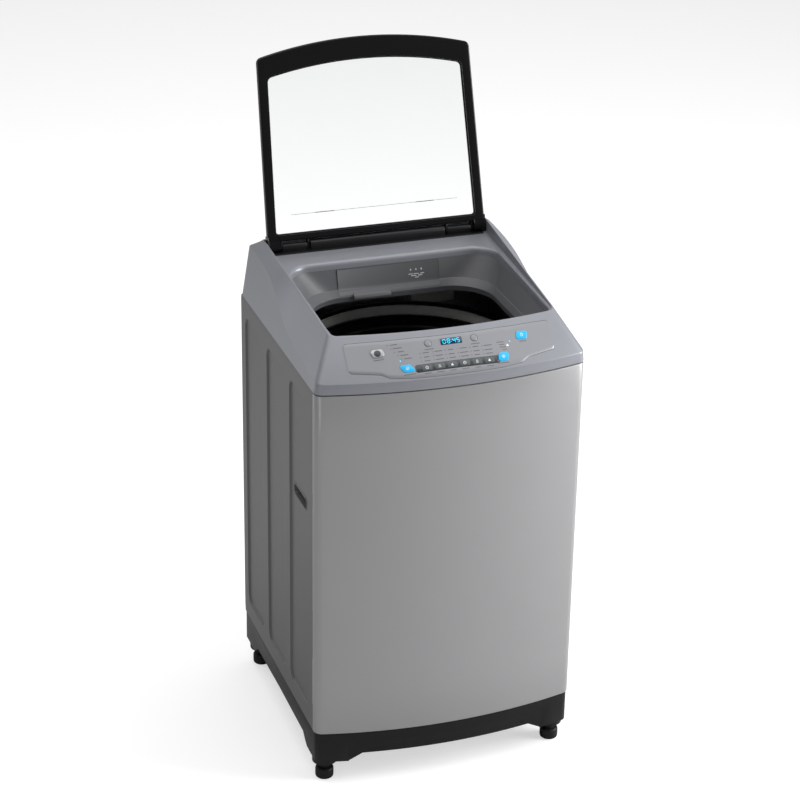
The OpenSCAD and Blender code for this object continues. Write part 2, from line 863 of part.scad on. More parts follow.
module control_fascia() {
    color([0.40, 0.42, 0.45]) on_floor() difference() {
        intersection() {
            console_shell(0, fascia_t - 0.1);
            over_console() fascia_outline();
        }
        console_holes(fit_gap);
        on_console() translate([0, 71.5 + display_h / 2, -20]) linear_extrude(40)
            rounded_bar(display_w, display_h, 2);
    }
}

module display_window() {
    color([0.02, 0.05, 0.09]) on_floor() on_console() translate([0, 71.5 + display_h / 2, -6])
        linear_extrude(5.7) rounded_bar(display_w - fit_gap, display_h - fit_gap, 1.8);
}

board_w = 430;
board_depth = 30;

module control_board() {
    color([0.05, 0.35, 0.18]) on_floor() on_console() {
        translate([-board_w / 2, 15, -board_depth]) cube([board_w, 55, 1.6]);
        for (x = [-170, -90, 60, 140]) translate([x, 36, -board_depth - 12]) cube([22, 18, 12 + eps]);
    }
}

// Button with its face proud of the console and a stem behind it
module button(x, s, proud, depth = 9) {
    on_floor() on_panel(x, s) translate([0, 0, -depth]) linear_extrude(depth + proud) children();
}

module power_button() { color(cyan_key) button(158, 75.5, 2) cyan_outline(); }
module start_button() { color(cyan_key) button(106, 31, 2) cyan_outline(); }
module hold_button() { color(cyan_key) button(-106, 31, 2) cyan_outline(); }
module program_button() { color(steel) button(-161, 72.5, 2.5) oval_outline(); }
module level_button() { color(steel) button(-51, 79.5, 2) dial_outline(); }
module timer_button() { color(steel) button(51, 79.5, 2) dial_outline(); }
module key(i) { color([0.2, 0.21, 0.23]) button((i - 3.5) * key_pitch + 4, key_s, 1.5) key_outline(); }
module key_1() { key(1); }
module key_2() { key(2); }
module key_3() { key(3); }
module key_4() { key(4); }
module key_5() { key(5); }
module key_6() { key(6); }

// ---------- detergent drawer ----------

drawer_front_y = mouth_rear - 1;
drawer_top = shelf_z - 13.5;
drawer_z = drawer_top - drawer_h;
drawer_wall = 2;

// Window in the throat's rear wall that the drawer passes, g wider than the drawer
module drawer_window(g) {
    translate([drawer_x - drawer_w / 2 - g, mouth_rear - 30, drawer_z - g])
        cube([drawer_w + 2 * g, 60, drawer_h + 2 * g]);
}

module detergent_drawer() {
    color(cover_grey) on_floor() translate([drawer_x - drawer_w / 2, drawer_front_y, drawer_z])
        difference() {
            union() {
                cube([drawer_w, drawer_len, drawer_h]);
                translate([28, -9, drawer_h * 0.12]) cube([90, 10, 8]);
            }
            translate([drawer_wall, drawer_wall + 2, drawer_wall])
                cube([drawer_w * 0.62, drawer_len - 2 * drawer_wall - 2, drawer_h]);
            translate([drawer_w * 0.62 + 2 * drawer_wall, drawer_wall + 2, drawer_wall])
                cube([drawer_w * 0.38 - 3 * drawer_wall, drawer_len - 2 * drawer_wall - 2, drawer_h]);
            translate([36, -10, drawer_h * 0.12 - 1]) cube([74, 8, 5]);
        }
}

module dispenser_housing() {
    gap = 1;
    wall = 2;
    w = drawer_w + 2 * (gap + wall);
    color([0.86, 0.87, 0.86]) on_floor()
        translate([drawer_x - w / 2, mouth_rear + 3, drawer_z - gap - wall]) difference() {
            cube([w, drawer_len + 8, drawer_h + 2 * gap + 2 * wall]);
            translate([wall, -1, wall]) cube([w - 2 * wall, drawer_len + 7, drawer_h + 2 * gap]);
            translate([w / 2 - 60, 30, -1]) cube([120, 40, wall + 2]);
        }
}

// ---------- suspension ----------

rod_x = half_w - 42;
rod_y = half_d - 42;
rod_r = 3.5;
rod_low = 392;
rod_top = panel_top - 22;
lug_z = 470;
lug_t = 10;
cup_h = 8;
spring_r = 13;
spring_wire = 3.4;
spring_z = rod_low + cup_h;
spring_len = lug_z - spring_z;

module at_rods() {
    for (x = [-rod_x, rod_x], y = [-rod_y, rod_y]) translate([x, y, 0]) children();
}

module suspension_rods() {
    color(steel) on_floor() {
        at_rods() {
            translate([0, 0, rod_low]) cylinder(r = rod_r, h = rod_top - rod_low);
            translate([0, 0, rod_low]) cylinder(r = 18, h = cup_h);
            translate([0, 0, rod_top - 4]) cylinder(r = 12, h = 8);
        }
        for (x = [-1, 1], y = [-1, 1])
            translate([x > 0 ? rod_x - 20 : -half_w + sheet_t, y * rod_y - 20, rod_top - 7])
                cube([half_w - sheet_t - rod_x + 20, 40, 3]);
    }
}

// Centre line of a spring with closed ends, as a function of its turn angle
spring_turns = 5;
spring_steps = 10;
wire_sides = 6;

function coil_point(a) = [
    spring_r * cos(a),
    spring_r * sin(a),
    spring_wire / 2 + (spring_len - spring_wire) * a / (360 * spring_turns)
];

function wire_point(a, b) = coil_point(a) + spring_wire / 2 * [
    cos(b) * cos(a),
    cos(b) * sin(a),
    sin(b)
];

module coil_spring() {
    n = spring_turns * spring_steps;
    points = [for (i = [0:n], j = [0:wire_sides - 1]) wire_point(i * 360 / spring_steps, j * 360 / wire_sides)];
    sides = [for (i = [0:n - 1], j = [0:wire_sides - 1])
        [
            i * wire_sides + j,
            i * wire_sides + (j + 1) % wire_sides,
            (i + 1) * wire_sides + (j + 1) % wire_sides,
            (i + 1) * wire_sides + j
        ]];
    ends = [
        [for (j = [wire_sides - 1:-1:0]) j],
        [for (j = [0:wire_sides - 1]) n * wire_sides + j]
    ];
    polyhedron(points, concat(sides, ends), convexity = 10);
}

module suspension_springs() {
    color(zinc) on_floor() at_rods() translate([0, 0, spring_z]) coil_spring();
}

// ---------- wash unit ----------

module on_axis(z = 0) translate([0, tub_cy, z]) children();

drum_r = tub_r - tub_wall - drum_gap;
drum_wall = 1;
drum_floor = 2;
seal_w = 9;
tub_floor = 5;
drum_top = tub_top - drum_top_gap;
drum_z = tub_z + 20;
spin_r = wash_shaft_r + run_gap + spin_wall;
bracket_z = 176;
bracket_t = 4;
pulley_z = 146;
pulley_h = 16;

// Arms that carry the tub on the suspension rods, seen from above
module lug_arms() {
    difference() {
        for (x = [-1, 1], y = [-1, 1]) translate([x * rod_x, y * rod_y]) {
            circle(22);
            rotate(atan2(tub_cy - y * rod_y, -x * rod_x)) translate([0, -14]) square([120, 28]);
        }
        translate([0, tub_cy]) circle(tub_r - 1, $fn = 128);
        for (x = [-rod_x, rod_x], y = [-rod_y, rod_y]) translate([x, y]) circle(rod_r + 1.5);
    }
}

module outer_tub() {
    color([0.82, 0.83, 0.82]) on_floor() {
        difference() {
            union() {
                on_axis(tub_z) cylinder(r = tub_r, h = tub_top - tub_z, $fn = 128);
                for (z = [tub_z + 60, tub_z + 300, tub_top - 30])
                    on_axis(z) cylinder(r = tub_r + 5, h = 4, $fn = 128);
            }
            on_axis(tub_z + tub_floor) cylinder(r = tub_r - tub_wall, h = tub_top, $fn = 128);
            on_axis(tub_z - 1) cylinder(r = spin_r + seal_w, h = 10);
        }
        translate([0, 0, lug_z]) linear_extrude(lug_t) lug_arms();
    }
}

module shaft_seal() {
    color(soft_black) on_floor() on_axis(tub_z) tube(spin_r + seal_w, spin_r + fit_gap, tub_floor);
}

module tub_rim() {
    color([0.25, 0.26, 0.27]) on_floor() on_axis(tub_top) {
        difference() {
            cylinder(r = tub_r + 5, h = 5, $fn = 128);
            translate([0, 0, -1]) cylinder(r = drum_r + 3, h = 7, $fn = 128);
        }
        translate([0, 0, -12]) difference() {
            cylinder(r = tub_r + 5, h = 12, $fn = 128);
            translate([0, 0, -1]) cylinder(r = tub_r + fit_gap, h = 15, $fn = 128);
        }
    }
}

module drive_bracket() {
    color(zinc) on_floor() on_axis(bracket_z) difference() {
        union() {
            cylinder(r = 88, h = bracket_t);
            translate([-motor_dist, -76, 0]) cube([motor_dist, 152, bracket_t]);
            translate([-motor_dist, 0, 0]) cylinder(r = 76, h = bracket_t);
            for (a = [45, 135, 225, 315]) rotate([0, 0, a]) translate([74, 0, bracket_t - eps])
                cylinder(r = 8, h = tub_z - bracket_z - bracket_t + eps);
        }
        translate([0, 0, -1]) cylinder(r = gearbox_r + fit_gap, h = 10);
        translate([-motor_dist, 0, -1]) cylinder(r = 20, h = 10);
    }
}

gearbox_r = 58;
gearbox_z = 168;
bearing_r = 24;
bearing_h = 14;
bearing_zs = [gearbox_z + 6, tub_z - bearing_h - 8];

module gearbox() {
    color([0.6, 0.61, 0.62]) on_floor() on_axis(gearbox_z) difference() {
        union() {
            cylinder(r = gearbox_r, h = tub_z - gearbox_z);
            translate([0, 0, tub_z - gearbox_z - 10]) cylinder(r = gearbox_r + 6, h = 10);
        }
        translate([0, 0, -1]) cylinder(r = spin_r + 1, h = 300);
        for (z = bearing_zs) translate([0, 0, z - gearbox_z]) cylinder(r = bearing_r, h = bearing_h);
    }
}

module shaft_bearings() {
    color(steel) on_floor() for (z = bearing_zs) on_axis(z) tube(bearing_r, spin_r + run_gap, bearing_h);
}

module motor() {
    color([0.35, 0.36, 0.38]) on_floor() on_axis(bracket_z + bracket_t) translate([-motor_dist, 0, 0])
        difference() {
            union() {
                cylinder(r = motor_r, h = motor_h - 12);
                cylinder(r = motor_r - 10, h = motor_h);
                for (a = [45:90:315]) rotate([0, 0, a]) translate([motor_r - 4, -8, 0]) cube([12, 16, 8]);
            }
            translate([0, 0, -1]) cylinder(r = 8 + run_gap, h = motor_h - 20);
        }
}

module drain_valve() {
    color([0.85, 0.85, 0.83]) on_floor() on_axis() translate([130, 90, tub_z - 60]) {
        cylinder(r = 26, h = 60);
        translate([-14, -14, -22]) cube([28, 28, 22 + eps]);
        translate([0, 0, 26]) rotate([-90, 0, 0]) tube(drain_r, drain_r - 2.5, 70);
    }
}

belt_z = pulley_z + pulley_h / 2;
belt_h = 8;
groove = 6;

// Outline round both pulleys at a distance g from the grooves' floors
module belt_outline(g) {
    hull() {
        circle(pulley_r - groove + g, $fn = 96);
        translate([-motor_dist, 0]) circle(motor_pulley_r - groove + g, $fn = 48);
    }
}

module drive_belt() {
    color(soft_black) on_floor() on_axis(belt_z - belt_h / 2) linear_extrude(belt_h) difference() {
        belt_outline(fit_gap + 4);
        belt_outline(fit_gap);
    }
}

// Grooved pulley of radius r with a hub
module pulley(r, bore) {
    difference() {
        cylinder(r = r, h = pulley_h, $fn = 96);
        translate([0, 0, pulley_h / 2 - belt_h / 2 - 1]) difference() {
            cylinder(r = r + 1, h = belt_h + 2, $fn = 96);
            translate([0, 0, -1]) cylinder(r = r - groove, h = belt_h + 4, $fn = 96);
        }
        translate([0, 0, -1]) cylinder(r = bore, h = pulley_h + 2);
    }
}

module drive_pulley() {
    color(zinc) on_floor() on_axis(pulley_z) difference() {
        pulley(pulley_r, wash_shaft_r);
        for (a = [0:60:300]) rotate([0, 0, a]) translate([45, 0, -1]) cylinder(r = 14, h = pulley_h + 2);
    }
}

module motor_pulley() {
    color(zinc) on_floor() on_axis(pulley_z) translate([-motor_dist, 0, 0]) {
        pulley(motor_pulley_r, 8);
        cylinder(r = 8, h = bracket_z + bracket_t - pulley_z + motor_h - 30);
    }
}

module basket() {
    hole_r = 3;
    color(steel) on_floor() on_axis(drum_z) difference() {
        cylinder(r = drum_r, h = drum_top - drum_z, $fn = 128);
        translate([0, 0, drum_floor]) cylinder(r = drum_r - drum_wall, h = drum_top, $fn = 128);
        translate([0, 0, -1]) cylinder(r = spin_r, h = 10);
        for (row = [0:2], a = [0:30:330]) rotate([0, 0, a + row * 15])
            translate([drum_r - 5, 0, 90 + row * 130]) rotate([0, 90, 0]) cylinder(r = hole_r, h = 10, $fn = 16);
    }
}

module balance_ring() {
    color([0.12, 0.12, 0.13]) on_floor() on_axis(drum_top - ring_h) {
        tube(drum_r - drum_wall - run_gap, drum_r - drum_wall - ring_w, ring_h, $fn = 128);
        translate([0, 0, ring_h]) tube(drum_r + 1, drum_r - drum_wall - ring_w, 4, $fn = 128);
    }
}

module basket_hub() {
    low = gearbox_z - 4;
    color([0.6, 0.61, 0.62]) on_floor() on_axis() difference() {
        union() {
            translate([0, 0, low]) cylinder(r = spin_r, h = drum_z + 10 - low);
            translate([0, 0, drum_z - 9]) cylinder(r = 70, h = 9);
        }
        translate([0, 0, low - 1]) cylinder(r = wash_shaft_r + run_gap, h = 300);
    }
}

module lint_filters() {
    color([0.75, 0.8, 0.82]) on_floor() on_axis(drum_z + 190) for (a = [90, 270]) rotate([0, 0, a])
        intersection() {
            tube(drum_r - drum_wall - run_gap, drum_r - drum_wall - 14, 170, $fn = 128);
            translate([drum_r - 40, -45, 0]) cube([60, 90, 170]);
        }
}

module pulsator() {
    plate_h = 8;
    dome_h = 22;
    color([0.15, 0.15, 0.16]) on_floor() on_axis(drum_z + 12) difference() {
        union() {
            cylinder(r = pulsator_r, h = plate_h, $fn = 128);
            translate([0, 0, plate_h]) cylinder(r1 = 58, r2 = 34, h = dome_h);
            for (a = [0:60:300]) rotate([0, 0, a]) translate([30, -7, plate_h - eps]) cube([pulsator_r - 44, 14, 16]);
        }
        translate([0, 0, -1]) cylinder(r = wash_shaft_r, h = plate_h + dome_h - 3);
        translate([0, 0, plate_h + dome_h - 6]) cylinder(r = 14, h = 20);
    }
}

module pulsator_shaft() {
    top = drum_z + 12 + 8 + 22 - 6;
    color(steel) on_floor() on_axis(pulley_z - 6) cylinder(r = wash_shaft_r, h = top - pulley_z + 6);
}

module pulsator_screw() {
    top = drum_z + 12 + 8 + 22 - 6;
    color(steel) on_floor() on_axis(top) cylinder(r = 11, h = 5, $fn = 6);
}

front_panel();
left_side_panel();
right_side_panel();
rear_panel();
rear_access_cover();
base_frame();
hand_grip_left();
hand_grip_right();
top_cover();
throat_ring();
hinge_cover();
control_fascia();
display_window();
control_board();
dispenser_housing();
inlet_valve();
lid_lock();
suspension_rods();
cord_gland();
drain_outlet();
panel_screws();
lid_frame();
lid_glass();
lid_hinge_pins();
detergent_drawer();
outer_tub();
tub_rim();
drive_bracket();
motor();
gearbox();
shaft_bearings();
shaft_seal();
drain_valve();
drive_belt();
suspension_springs();
basket();
balance_ring();
basket_hub();
lint_filters();
pulsator();
pulsator_shaft();
pulsator_screw();
drive_pulley();
motor_pulley();
power_button();
start_button();
hold_button();
program_button();
level_button();
timer_button();
key_1();
key_2();
key_3();
key_4();
key_5();
key_6();
foot_front_left();
foot_front_right();
foot_rear_left();
foot_rear_right();
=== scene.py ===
import logging
import math
from dataclasses import dataclass, field
from enum import Enum
from typing import Callable, Iterable, Sequence

import bmesh
import bpy
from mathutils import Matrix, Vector


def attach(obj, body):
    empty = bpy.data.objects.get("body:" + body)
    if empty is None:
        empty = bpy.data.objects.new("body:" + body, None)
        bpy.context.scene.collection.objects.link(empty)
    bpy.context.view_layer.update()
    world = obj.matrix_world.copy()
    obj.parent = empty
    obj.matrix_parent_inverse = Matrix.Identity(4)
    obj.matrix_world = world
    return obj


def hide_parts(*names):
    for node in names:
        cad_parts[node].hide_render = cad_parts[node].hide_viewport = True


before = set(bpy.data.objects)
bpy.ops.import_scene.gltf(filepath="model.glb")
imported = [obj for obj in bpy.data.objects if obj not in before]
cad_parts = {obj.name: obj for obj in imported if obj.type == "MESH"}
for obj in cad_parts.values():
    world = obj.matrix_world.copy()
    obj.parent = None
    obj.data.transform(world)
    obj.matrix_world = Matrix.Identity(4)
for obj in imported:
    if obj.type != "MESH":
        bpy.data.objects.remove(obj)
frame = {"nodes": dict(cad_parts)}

LOG = logging.getLogger("washer")
MM = 0.001
MID_Y = -12.0
Point = tuple[float, float, float]
Flat = tuple[float, float]
Placing = Callable[[float, float, float], Point]


# ---------------------------------------------------------------- geometry


def metres(p: Sequence[float]) -> Point:
    """Turns a workshop point in millimetres into the row frame in metres."""
    return (p[0] * MM, (p[1] + MID_Y) * MM, p[2] * MM)


def lerp(a: float, b: float, t: float) -> float:
    """Mixes two numbers by t."""
    return a + (b - a) * t


def fresh(nodes: bpy.types.Nodes, *kinds: str) -> list[bpy.types.Node]:
    """Adds one node of each kind to a tree, in the order given."""
    return [nodes.new(kind) for kind in kinds]


def smooth_step(t: float) -> float:
    """Eases t between 0 and 1."""
    t = min(1.0, max(0.0, t))
    return t * t * (3 - 2 * t)


def along(table: Sequence[Flat], t: float) -> float:
    """Reads a smooth curve through a short table of (place, value) pairs.

    Args:
        table: pairs in rising order of place.
        t: the place that is asked for.

    Returns:
        The value, held level outside the table.
    """
    if t <= table[0][0]:
        return table[0][1]
    for i in range(len(table) - 1):
        (a, va), (b, vb) = table[i], table[i + 1]
        if t <= b:
            before = table[max(i - 1, 0)]
            after = table[min(i + 2, len(table) - 1)]
            ma = (vb - before[1]) / (b - before[0])
            mb = (after[1] - va) / (after[0] - a)
            u, w = (t - a) / (b - a), b - a
            return (
                (2 * u**3 - 3 * u**2 + 1) * va
                + (u**3 - 2 * u**2 + u) * w * ma
                + (3 * u**2 - 2 * u**3) * vb
                + (u**3 - u**2) * w * mb
            )
    return table[-1][1]


def fillet(path: Sequence[Point], radii: Sequence[float], steps: int, closed: bool = False) -> list[Point]:
    """Rounds the corners of a path in space; equal corner counts give equal point counts.

    Args:
        path: the corners.
        radii: one radius for each corner; 0 keeps it sharp.
        steps: points along each rounding, less one.
        closed: whether the last corner leads back to the first.

    Returns:
        The points of the rounded path.
    """
    out: list[Point] = []
    n = len(path)
    for i in range(n):
        here = Vector(path[i])
        if radii[i] <= 0 or (not closed and i in (0, n - 1)):
            out.append(tuple(here))
            continue
        back, on = Vector(path[i - 1]) - here, Vector(path[(i + 1) % n]) - here
        d1, d2 = back.normalized(), on.normalized()
        half = max(0.02, d1.angle(d2, math.pi) / 2)
        reach = min(radii[i] / math.tan(half), 0.48 * back.length, 0.48 * on.length)
        a, b = here + d1 * reach, here + d2 * reach
        weight = math.sin(half)
        for k in range(steps + 1):
            t = k / steps
            wa, wh, wb = (1 - t) ** 2, 2 * t * (1 - t) * weight, t * t
            out.append(tuple((a * wa + here * wh + b * wb) / (wa + wh + wb)))
    return out


def flat_fillet(path: Sequence[Flat], radii: Sequence[float], steps: int = 8) -> list[Flat]:
    """Rounds the corners of a closed outline in a plane."""
    return [(p[0], p[1]) for p in fillet([(x, y, 0.0) for x, y in path], radii, steps, closed=True)]


def bar_outline(w: float, h: float, r: float, steps: int = 6) -> list[Flat]:
    """Gives a rounded bar about the origin, anticlockwise."""
    x, y = w / 2, h / 2
    return flat_fillet([(-x, -y), (x, -y), (x, y), (-x, y)], [r] * 4, steps)


def circle_outline(r: float, n: int = 64, cx: float = 0.0, cy: float = 0.0) -> list[Flat]:
    """Gives a circle as an anticlockwise outline."""
    return [(cx + r * math.cos(math.tau * i / n), cy + r * math.sin(math.tau * i / n)) for i in range(n)]


def inset(loop: Sequence[Flat], d: float) -> list[Flat]:
    """Draws an anticlockwise outline in by d, point for point."""
    out: list[Flat] = []
    n = len(loop)
    for i in range(n):
        ax, ay = loop[i - 1]
        bx, by = loop[i]
        cx, cy = loop[(i + 1) % n]
        n1 = Vector((-(by - ay), bx - ax)).normalized()
        n2 = Vector((-(cy - by), cx - bx)).normalized()
        m = n1 + n2
        m = m.normalized() if m.length > 1e-6 else n1
        out.append((bx + m.x * d / max(0.35, m.dot(n1)), by + m.y * d / max(0.35, m.dot(n1))))
    return out


class Maker:
    """Turns lists of points into finished mesh pieces, with their places in their vertices."""

    def __init__(self, name: str) -> None:
        """Starts an empty piece."""
        self.name = name
        self.verts: list[Point] = []
        self.faces: list[tuple[int, ...]] = []

    def add(self, points: Iterable[Sequence[float]]) -> list[int]:
        """Adds points in millimetres and returns their numbers."""
        start = len(self.verts)
        self.verts.extend(metres(p) for p in points)
        return list(range(start, len(self.verts)))

    def strip(self, a: Sequence[int], b: Sequence[int], closed: bool = True) -> None:
        """Joins two rows of as many points with faces."""
        n = len(a)
        for i in range(n if closed else n - 1):
            j = (i + 1) % n
            self.faces.append((a[i], a[j], b[j], b[i]))

    def loft(self, rings: Sequence[Sequence[Sequence[float]]], closed: bool = True) -> list[list[int]]:
        """Joins rings of as many points one after another.

        Args:
            rings: rows of points in millimetres.
            closed: whether each row closes on itself.

        Returns:
            The numbers of each row's points.
        """
        rows = [self.add(r) for r in rings]
        for a, b in zip(rows, rows[1:]):
            self.strip(a, b, closed)
        return rows

    def cap(self, row: Sequence[int], flip: bool = False) -> None:
        """Closes a ring with one face."""
        self.faces.append(tuple(reversed(row)) if flip else tuple(row))

    def prism(self, loop: Sequence[Flat], place: Placing,
              low: float, high: float, edge: float = 0.0, steps: int = 3, bottom_edge: float = 0.0) -> None:
        """Builds a closed plate from an outline, with rounded rims.

        Args:
            loop: the outline, anticlockwise seen from its top.
            place: puts (x, y, z) of the plate's own frame in the workshop.
            low: the underside.
            high: the top.
            edge: the rounding of the top rim.
            steps: points along each rounding.
            bottom_edge: the rounding of the lower rim.
        """
        levels: list[tuple[float, float]] = []
        if bottom_edge > 0:
            for k in range(steps + 1):
                a = math.pi / 2 * k / steps
                levels.append((bottom_edge * (1 - math.sin(a)), low + bottom_edge * (1 - math.cos(a))))
        else:
            levels.append((0.0, low))
        if edge > 0:
            for k in range(steps + 1):
                a = math.pi / 2 * k / steps
                levels.append((edge * (1 - math.cos(a)), high - edge * (1 - math.sin(a))))
        else:
            levels.append((0.0, high))
        rings = [[place(x, y, z) for x, y in inset(loop, d)] for d, z in levels]
        rows = self.loft(rings)
        self.cap(rows[0], flip=True)
        self.cap(rows[-1])

    def frame(self, outer: Sequence[Flat], inner: Sequence[Flat], place: Placing,
              low: float, high: float, edge: float, inner_edge: float | None = None, steps: int = 3) -> None:
        """Builds a closed ring between two outlines of as many points, with rounded rims.

        Args:
            outer: the outside outline, anticlockwise.
            inner: the inside outline, point for point with the outer one.
            place: puts (x, y, z) of the frame's own frame in the workshop.
            low: the underside.
            high: the top.
            edge: the rounding of the outer rims.
            inner_edge: the rounding of the inner rims, or None for the same.
            steps: points along each rounding.
        """
        e_in = edge if inner_edge is None else inner_edge
        quarter = [math.pi / 2 * k / steps for k in range(steps + 1)]
        rings: list[list[Point]] = []
        for a in quarter:
            rings.append([place(x, y, low + edge * (1 - math.cos(a))) for x,
                          y in inset(outer, edge * (1 - math.sin(a)))])
        for a in quarter:
            rings.append([place(x, y, high - edge * (1 - math.sin(a))) for x,
                          y in inset(outer, edge * (1 - math.cos(a)))])
        for a in reversed(quarter):
            rings.append([place(x, y, high - e_in * (1 - math.sin(a))) for x,
                          y in inset(inner, -e_in * (1 - math.cos(a)))])
        for a in reversed(quarter):
            rings.append([place(x, y, low + e_in * (1 - math.cos(a))) for x,
                          y in inset(inner, -e_in * (1 - math.sin(a)))])
        rows = self.loft(rings)
        self.strip(rows[-1], rows[0])

    def lathe(self, profile: Sequence[Flat], cx: float, cy: float, n: int = 128,
              closed: bool = False) -> None:
        """Turns a profile of (radius, height) about an upright axis."""
        rows = [self.add([(cx + r * math.cos(math.tau * i / n), cy + r * math.sin(math.tau * i / n),
                           z) for i in range(n)])
                for r, z in profile]
        for a, b in zip(rows, rows[1:]):
            self.strip(a, b)
        if closed:
            self.strip(rows[-1], rows[0])

    def done(self, finish: "Finish", smooth_deg: float = 35.0, recalc: bool = True) -> bpy.types.Object:
        """Makes the mesh object, shades it smooth below an angle and gives it its finish.

        Args:
            finish: the finish of the whole piece.
            smooth_deg: edges sharper than this stay crisp.
            recalc: whether the faces are turned outwards as one closed or open shell.

        Returns:
            The object, linked to the scene.
        """
        mesh = bpy.data.meshes.new(self.name)
        mesh.from_pydata(self.verts, [], self.faces)
        bm = bmesh.new()
        bm.from_mesh(mesh)
        bmesh.ops.remove_doubles(bm, verts=bm.verts, dist=1e-6)
        bmesh.ops.dissolve_degenerate(bm, edges=bm.edges, dist=1e-7)
        if recalc:
            bmesh.ops.recalc_face_normals(bm, faces=bm.faces)
        bm.to_mesh(mesh)
        bm.free()
        mesh.shade_smooth()
        mesh.set_sharp_from_angle(angle=math.radians(smooth_deg))
        obj = bpy.data.objects.new(self.name, mesh)
        bpy.context.scene.collection.objects.link(obj)
        obj.data.materials.append(finish.material())
        return obj


def as_is(x: float, y: float, z: float) -> Point:
    """Leaves a point in the workshop frame."""
    return (x, y, z)


def apply_modifiers(obj: bpy.types.Object) -> bpy.types.Object:
    """Turns an object's modifiers into plain mesh and removes them.

    Args:
        obj: the object, whose modifiers are evaluated.

    Returns:
        The same object with the new mesh.
    """
    bpy.context.view_layer.update()
    evaluated = obj.evaluated_get(bpy.context.evaluated_depsgraph_get())
    mesh = bpy.data.meshes.new_from_object(evaluated)
    obj.modifiers.clear()
    obj.data = mesh
    return obj


def settle(obj: bpy.types.Object, body: str, slot: str, *nodes: str) -> bpy.types.Object:
    """Ties a finished piece to its body, hides the CAD nodes that it stands for, and reports it."""
    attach(obj, body)
    if nodes:
        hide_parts(*nodes)
    LOG.info("%s: %d faces on %s", obj.name, len(obj.data.polygons), body)
    return obj


# ---------------------------------------------------------------- finishes


class Groups:
    """Shader node groups that several finishes share, each built once."""

    _built: dict[str, bpy.types.NodeTree] = {}

    @classmethod
    def _tree(cls, name: str, inputs: Sequence[tuple[str, str, float]],
              outputs: Sequence[tuple[str, str]]) -> bpy.types.NodeTree:
        """Starts a shader group with its sockets.

        Args:
            name: the group's name.
            inputs: (name, socket type, default) of each input.
            outputs: (name, socket type) of each output.

        Returns:
            The new tree with its group input and output nodes.
        """
        tree = bpy.data.node_groups.new(name, "ShaderNodeTree")
        for label, kind, value in inputs:
            tree.interface.new_socket(name=label, in_out="INPUT", socket_type=kind).default_value = value
        for label, kind in outputs:
            tree.interface.new_socket(name=label, in_out="OUTPUT", socket_type=kind)
        tree.nodes.new("NodeGroupInput").name = "in"
        tree.nodes.new("NodeGroupOutput").name = "out"
        cls._built[name] = tree
        return tree

    @classmethod
    def grain(cls) -> bpy.types.NodeTree:
        """Fine moulded or sprayed grain: Height for a bump, Tone for a faint change of look."""
        if "surface_grain" in cls._built:
            return cls._built["surface_grain"]
        t = cls._tree("surface_grain",
                      [("Scale", "NodeSocketFloat", 900.0), ("Stretch X", "NodeSocketFloat", 1.0),
                       ("Stretch Z", "NodeSocketFloat", 1.0), ("Tone Scale", "NodeSocketFloat", 6.0)],
                      [("Height", "NodeSocketFloat"), ("Tone", "NodeSocketFloat")])
        n, link = t.nodes, t.links.new
        coord, stretch = fresh(n, "ShaderNodeTexCoord", "ShaderNodeCombineXYZ")
        scaled, fine, broad = fresh(n, "ShaderNodeVectorMath", "ShaderNodeTexNoise", "ShaderNodeTexNoise")
        scaled.operation = "MULTIPLY"
        stretch.inputs["Y"].default_value = 1.0
        link(n["in"].outputs["Stretch X"], stretch.inputs["X"])
        link(n["in"].outputs["Stretch Z"], stretch.inputs["Z"])
        link(coord.outputs["Object"], scaled.inputs[0])
        link(stretch.outputs[0], scaled.inputs[1])
        link(scaled.outputs[0], fine.inputs["Vector"])
        link(n["in"].outputs["Scale"], fine.inputs["Scale"])
        fine.inputs["Detail"].default_value = 3.0
        link(coord.outputs["Object"], broad.inputs["Vector"])
        link(n["in"].outputs["Tone Scale"], broad.inputs["Scale"])
        broad.inputs["Detail"].default_value = 2.0
        link(fine.outputs["Fac"], n["out"].inputs["Height"])
        link(broad.outputs["Fac"], n["out"].inputs["Tone"])
        return t

    @classmethod
    def wear(cls) -> bpy.types.NodeTree:
        """Rub along edges: Mask is 1 where an edge or a high spot has lost its bloom."""
        if "edge_rub" in cls._built:
            return cls._built["edge_rub"]
        t = cls._tree("edge_rub", [("Amount", "NodeSocketFloat", 0.3), ("Spots", "NodeSocketFloat", 40.0)],
                      [("Mask", "NodeSocketFloat")])
        n, link = t.nodes, t.links.new
        geo, coord, spots = fresh(n, "ShaderNodeNewGeometry", "ShaderNodeTexCoord", "ShaderNodeTexNoise")
        ramp, mix, gain = fresh(n, "ShaderNodeMapRange", "ShaderNodeMath", "ShaderNodeMath")
        link(coord.outputs["Object"], spots.inputs["Vector"])
        link(n["in"].outputs["Spots"], spots.inputs["Scale"])
        ramp.inputs["From Min"].default_value = 0.51
        ramp.inputs["From Max"].default_value = 0.6
        link(geo.outputs["Pointiness"], ramp.inputs["Value"])
        mix.operation, gain.operation = "MULTIPLY", "MULTIPLY"
        link(ramp.outputs["Result"], mix.inputs[0])
        link(spots.outputs["Fac"], mix.inputs[1])
        link(mix.outputs[0], gain.inputs[0])
        link(n["in"].outputs["Amount"], gain.inputs[1])
        link(gain.outputs[0], n["out"].inputs["Mask"])
        return t


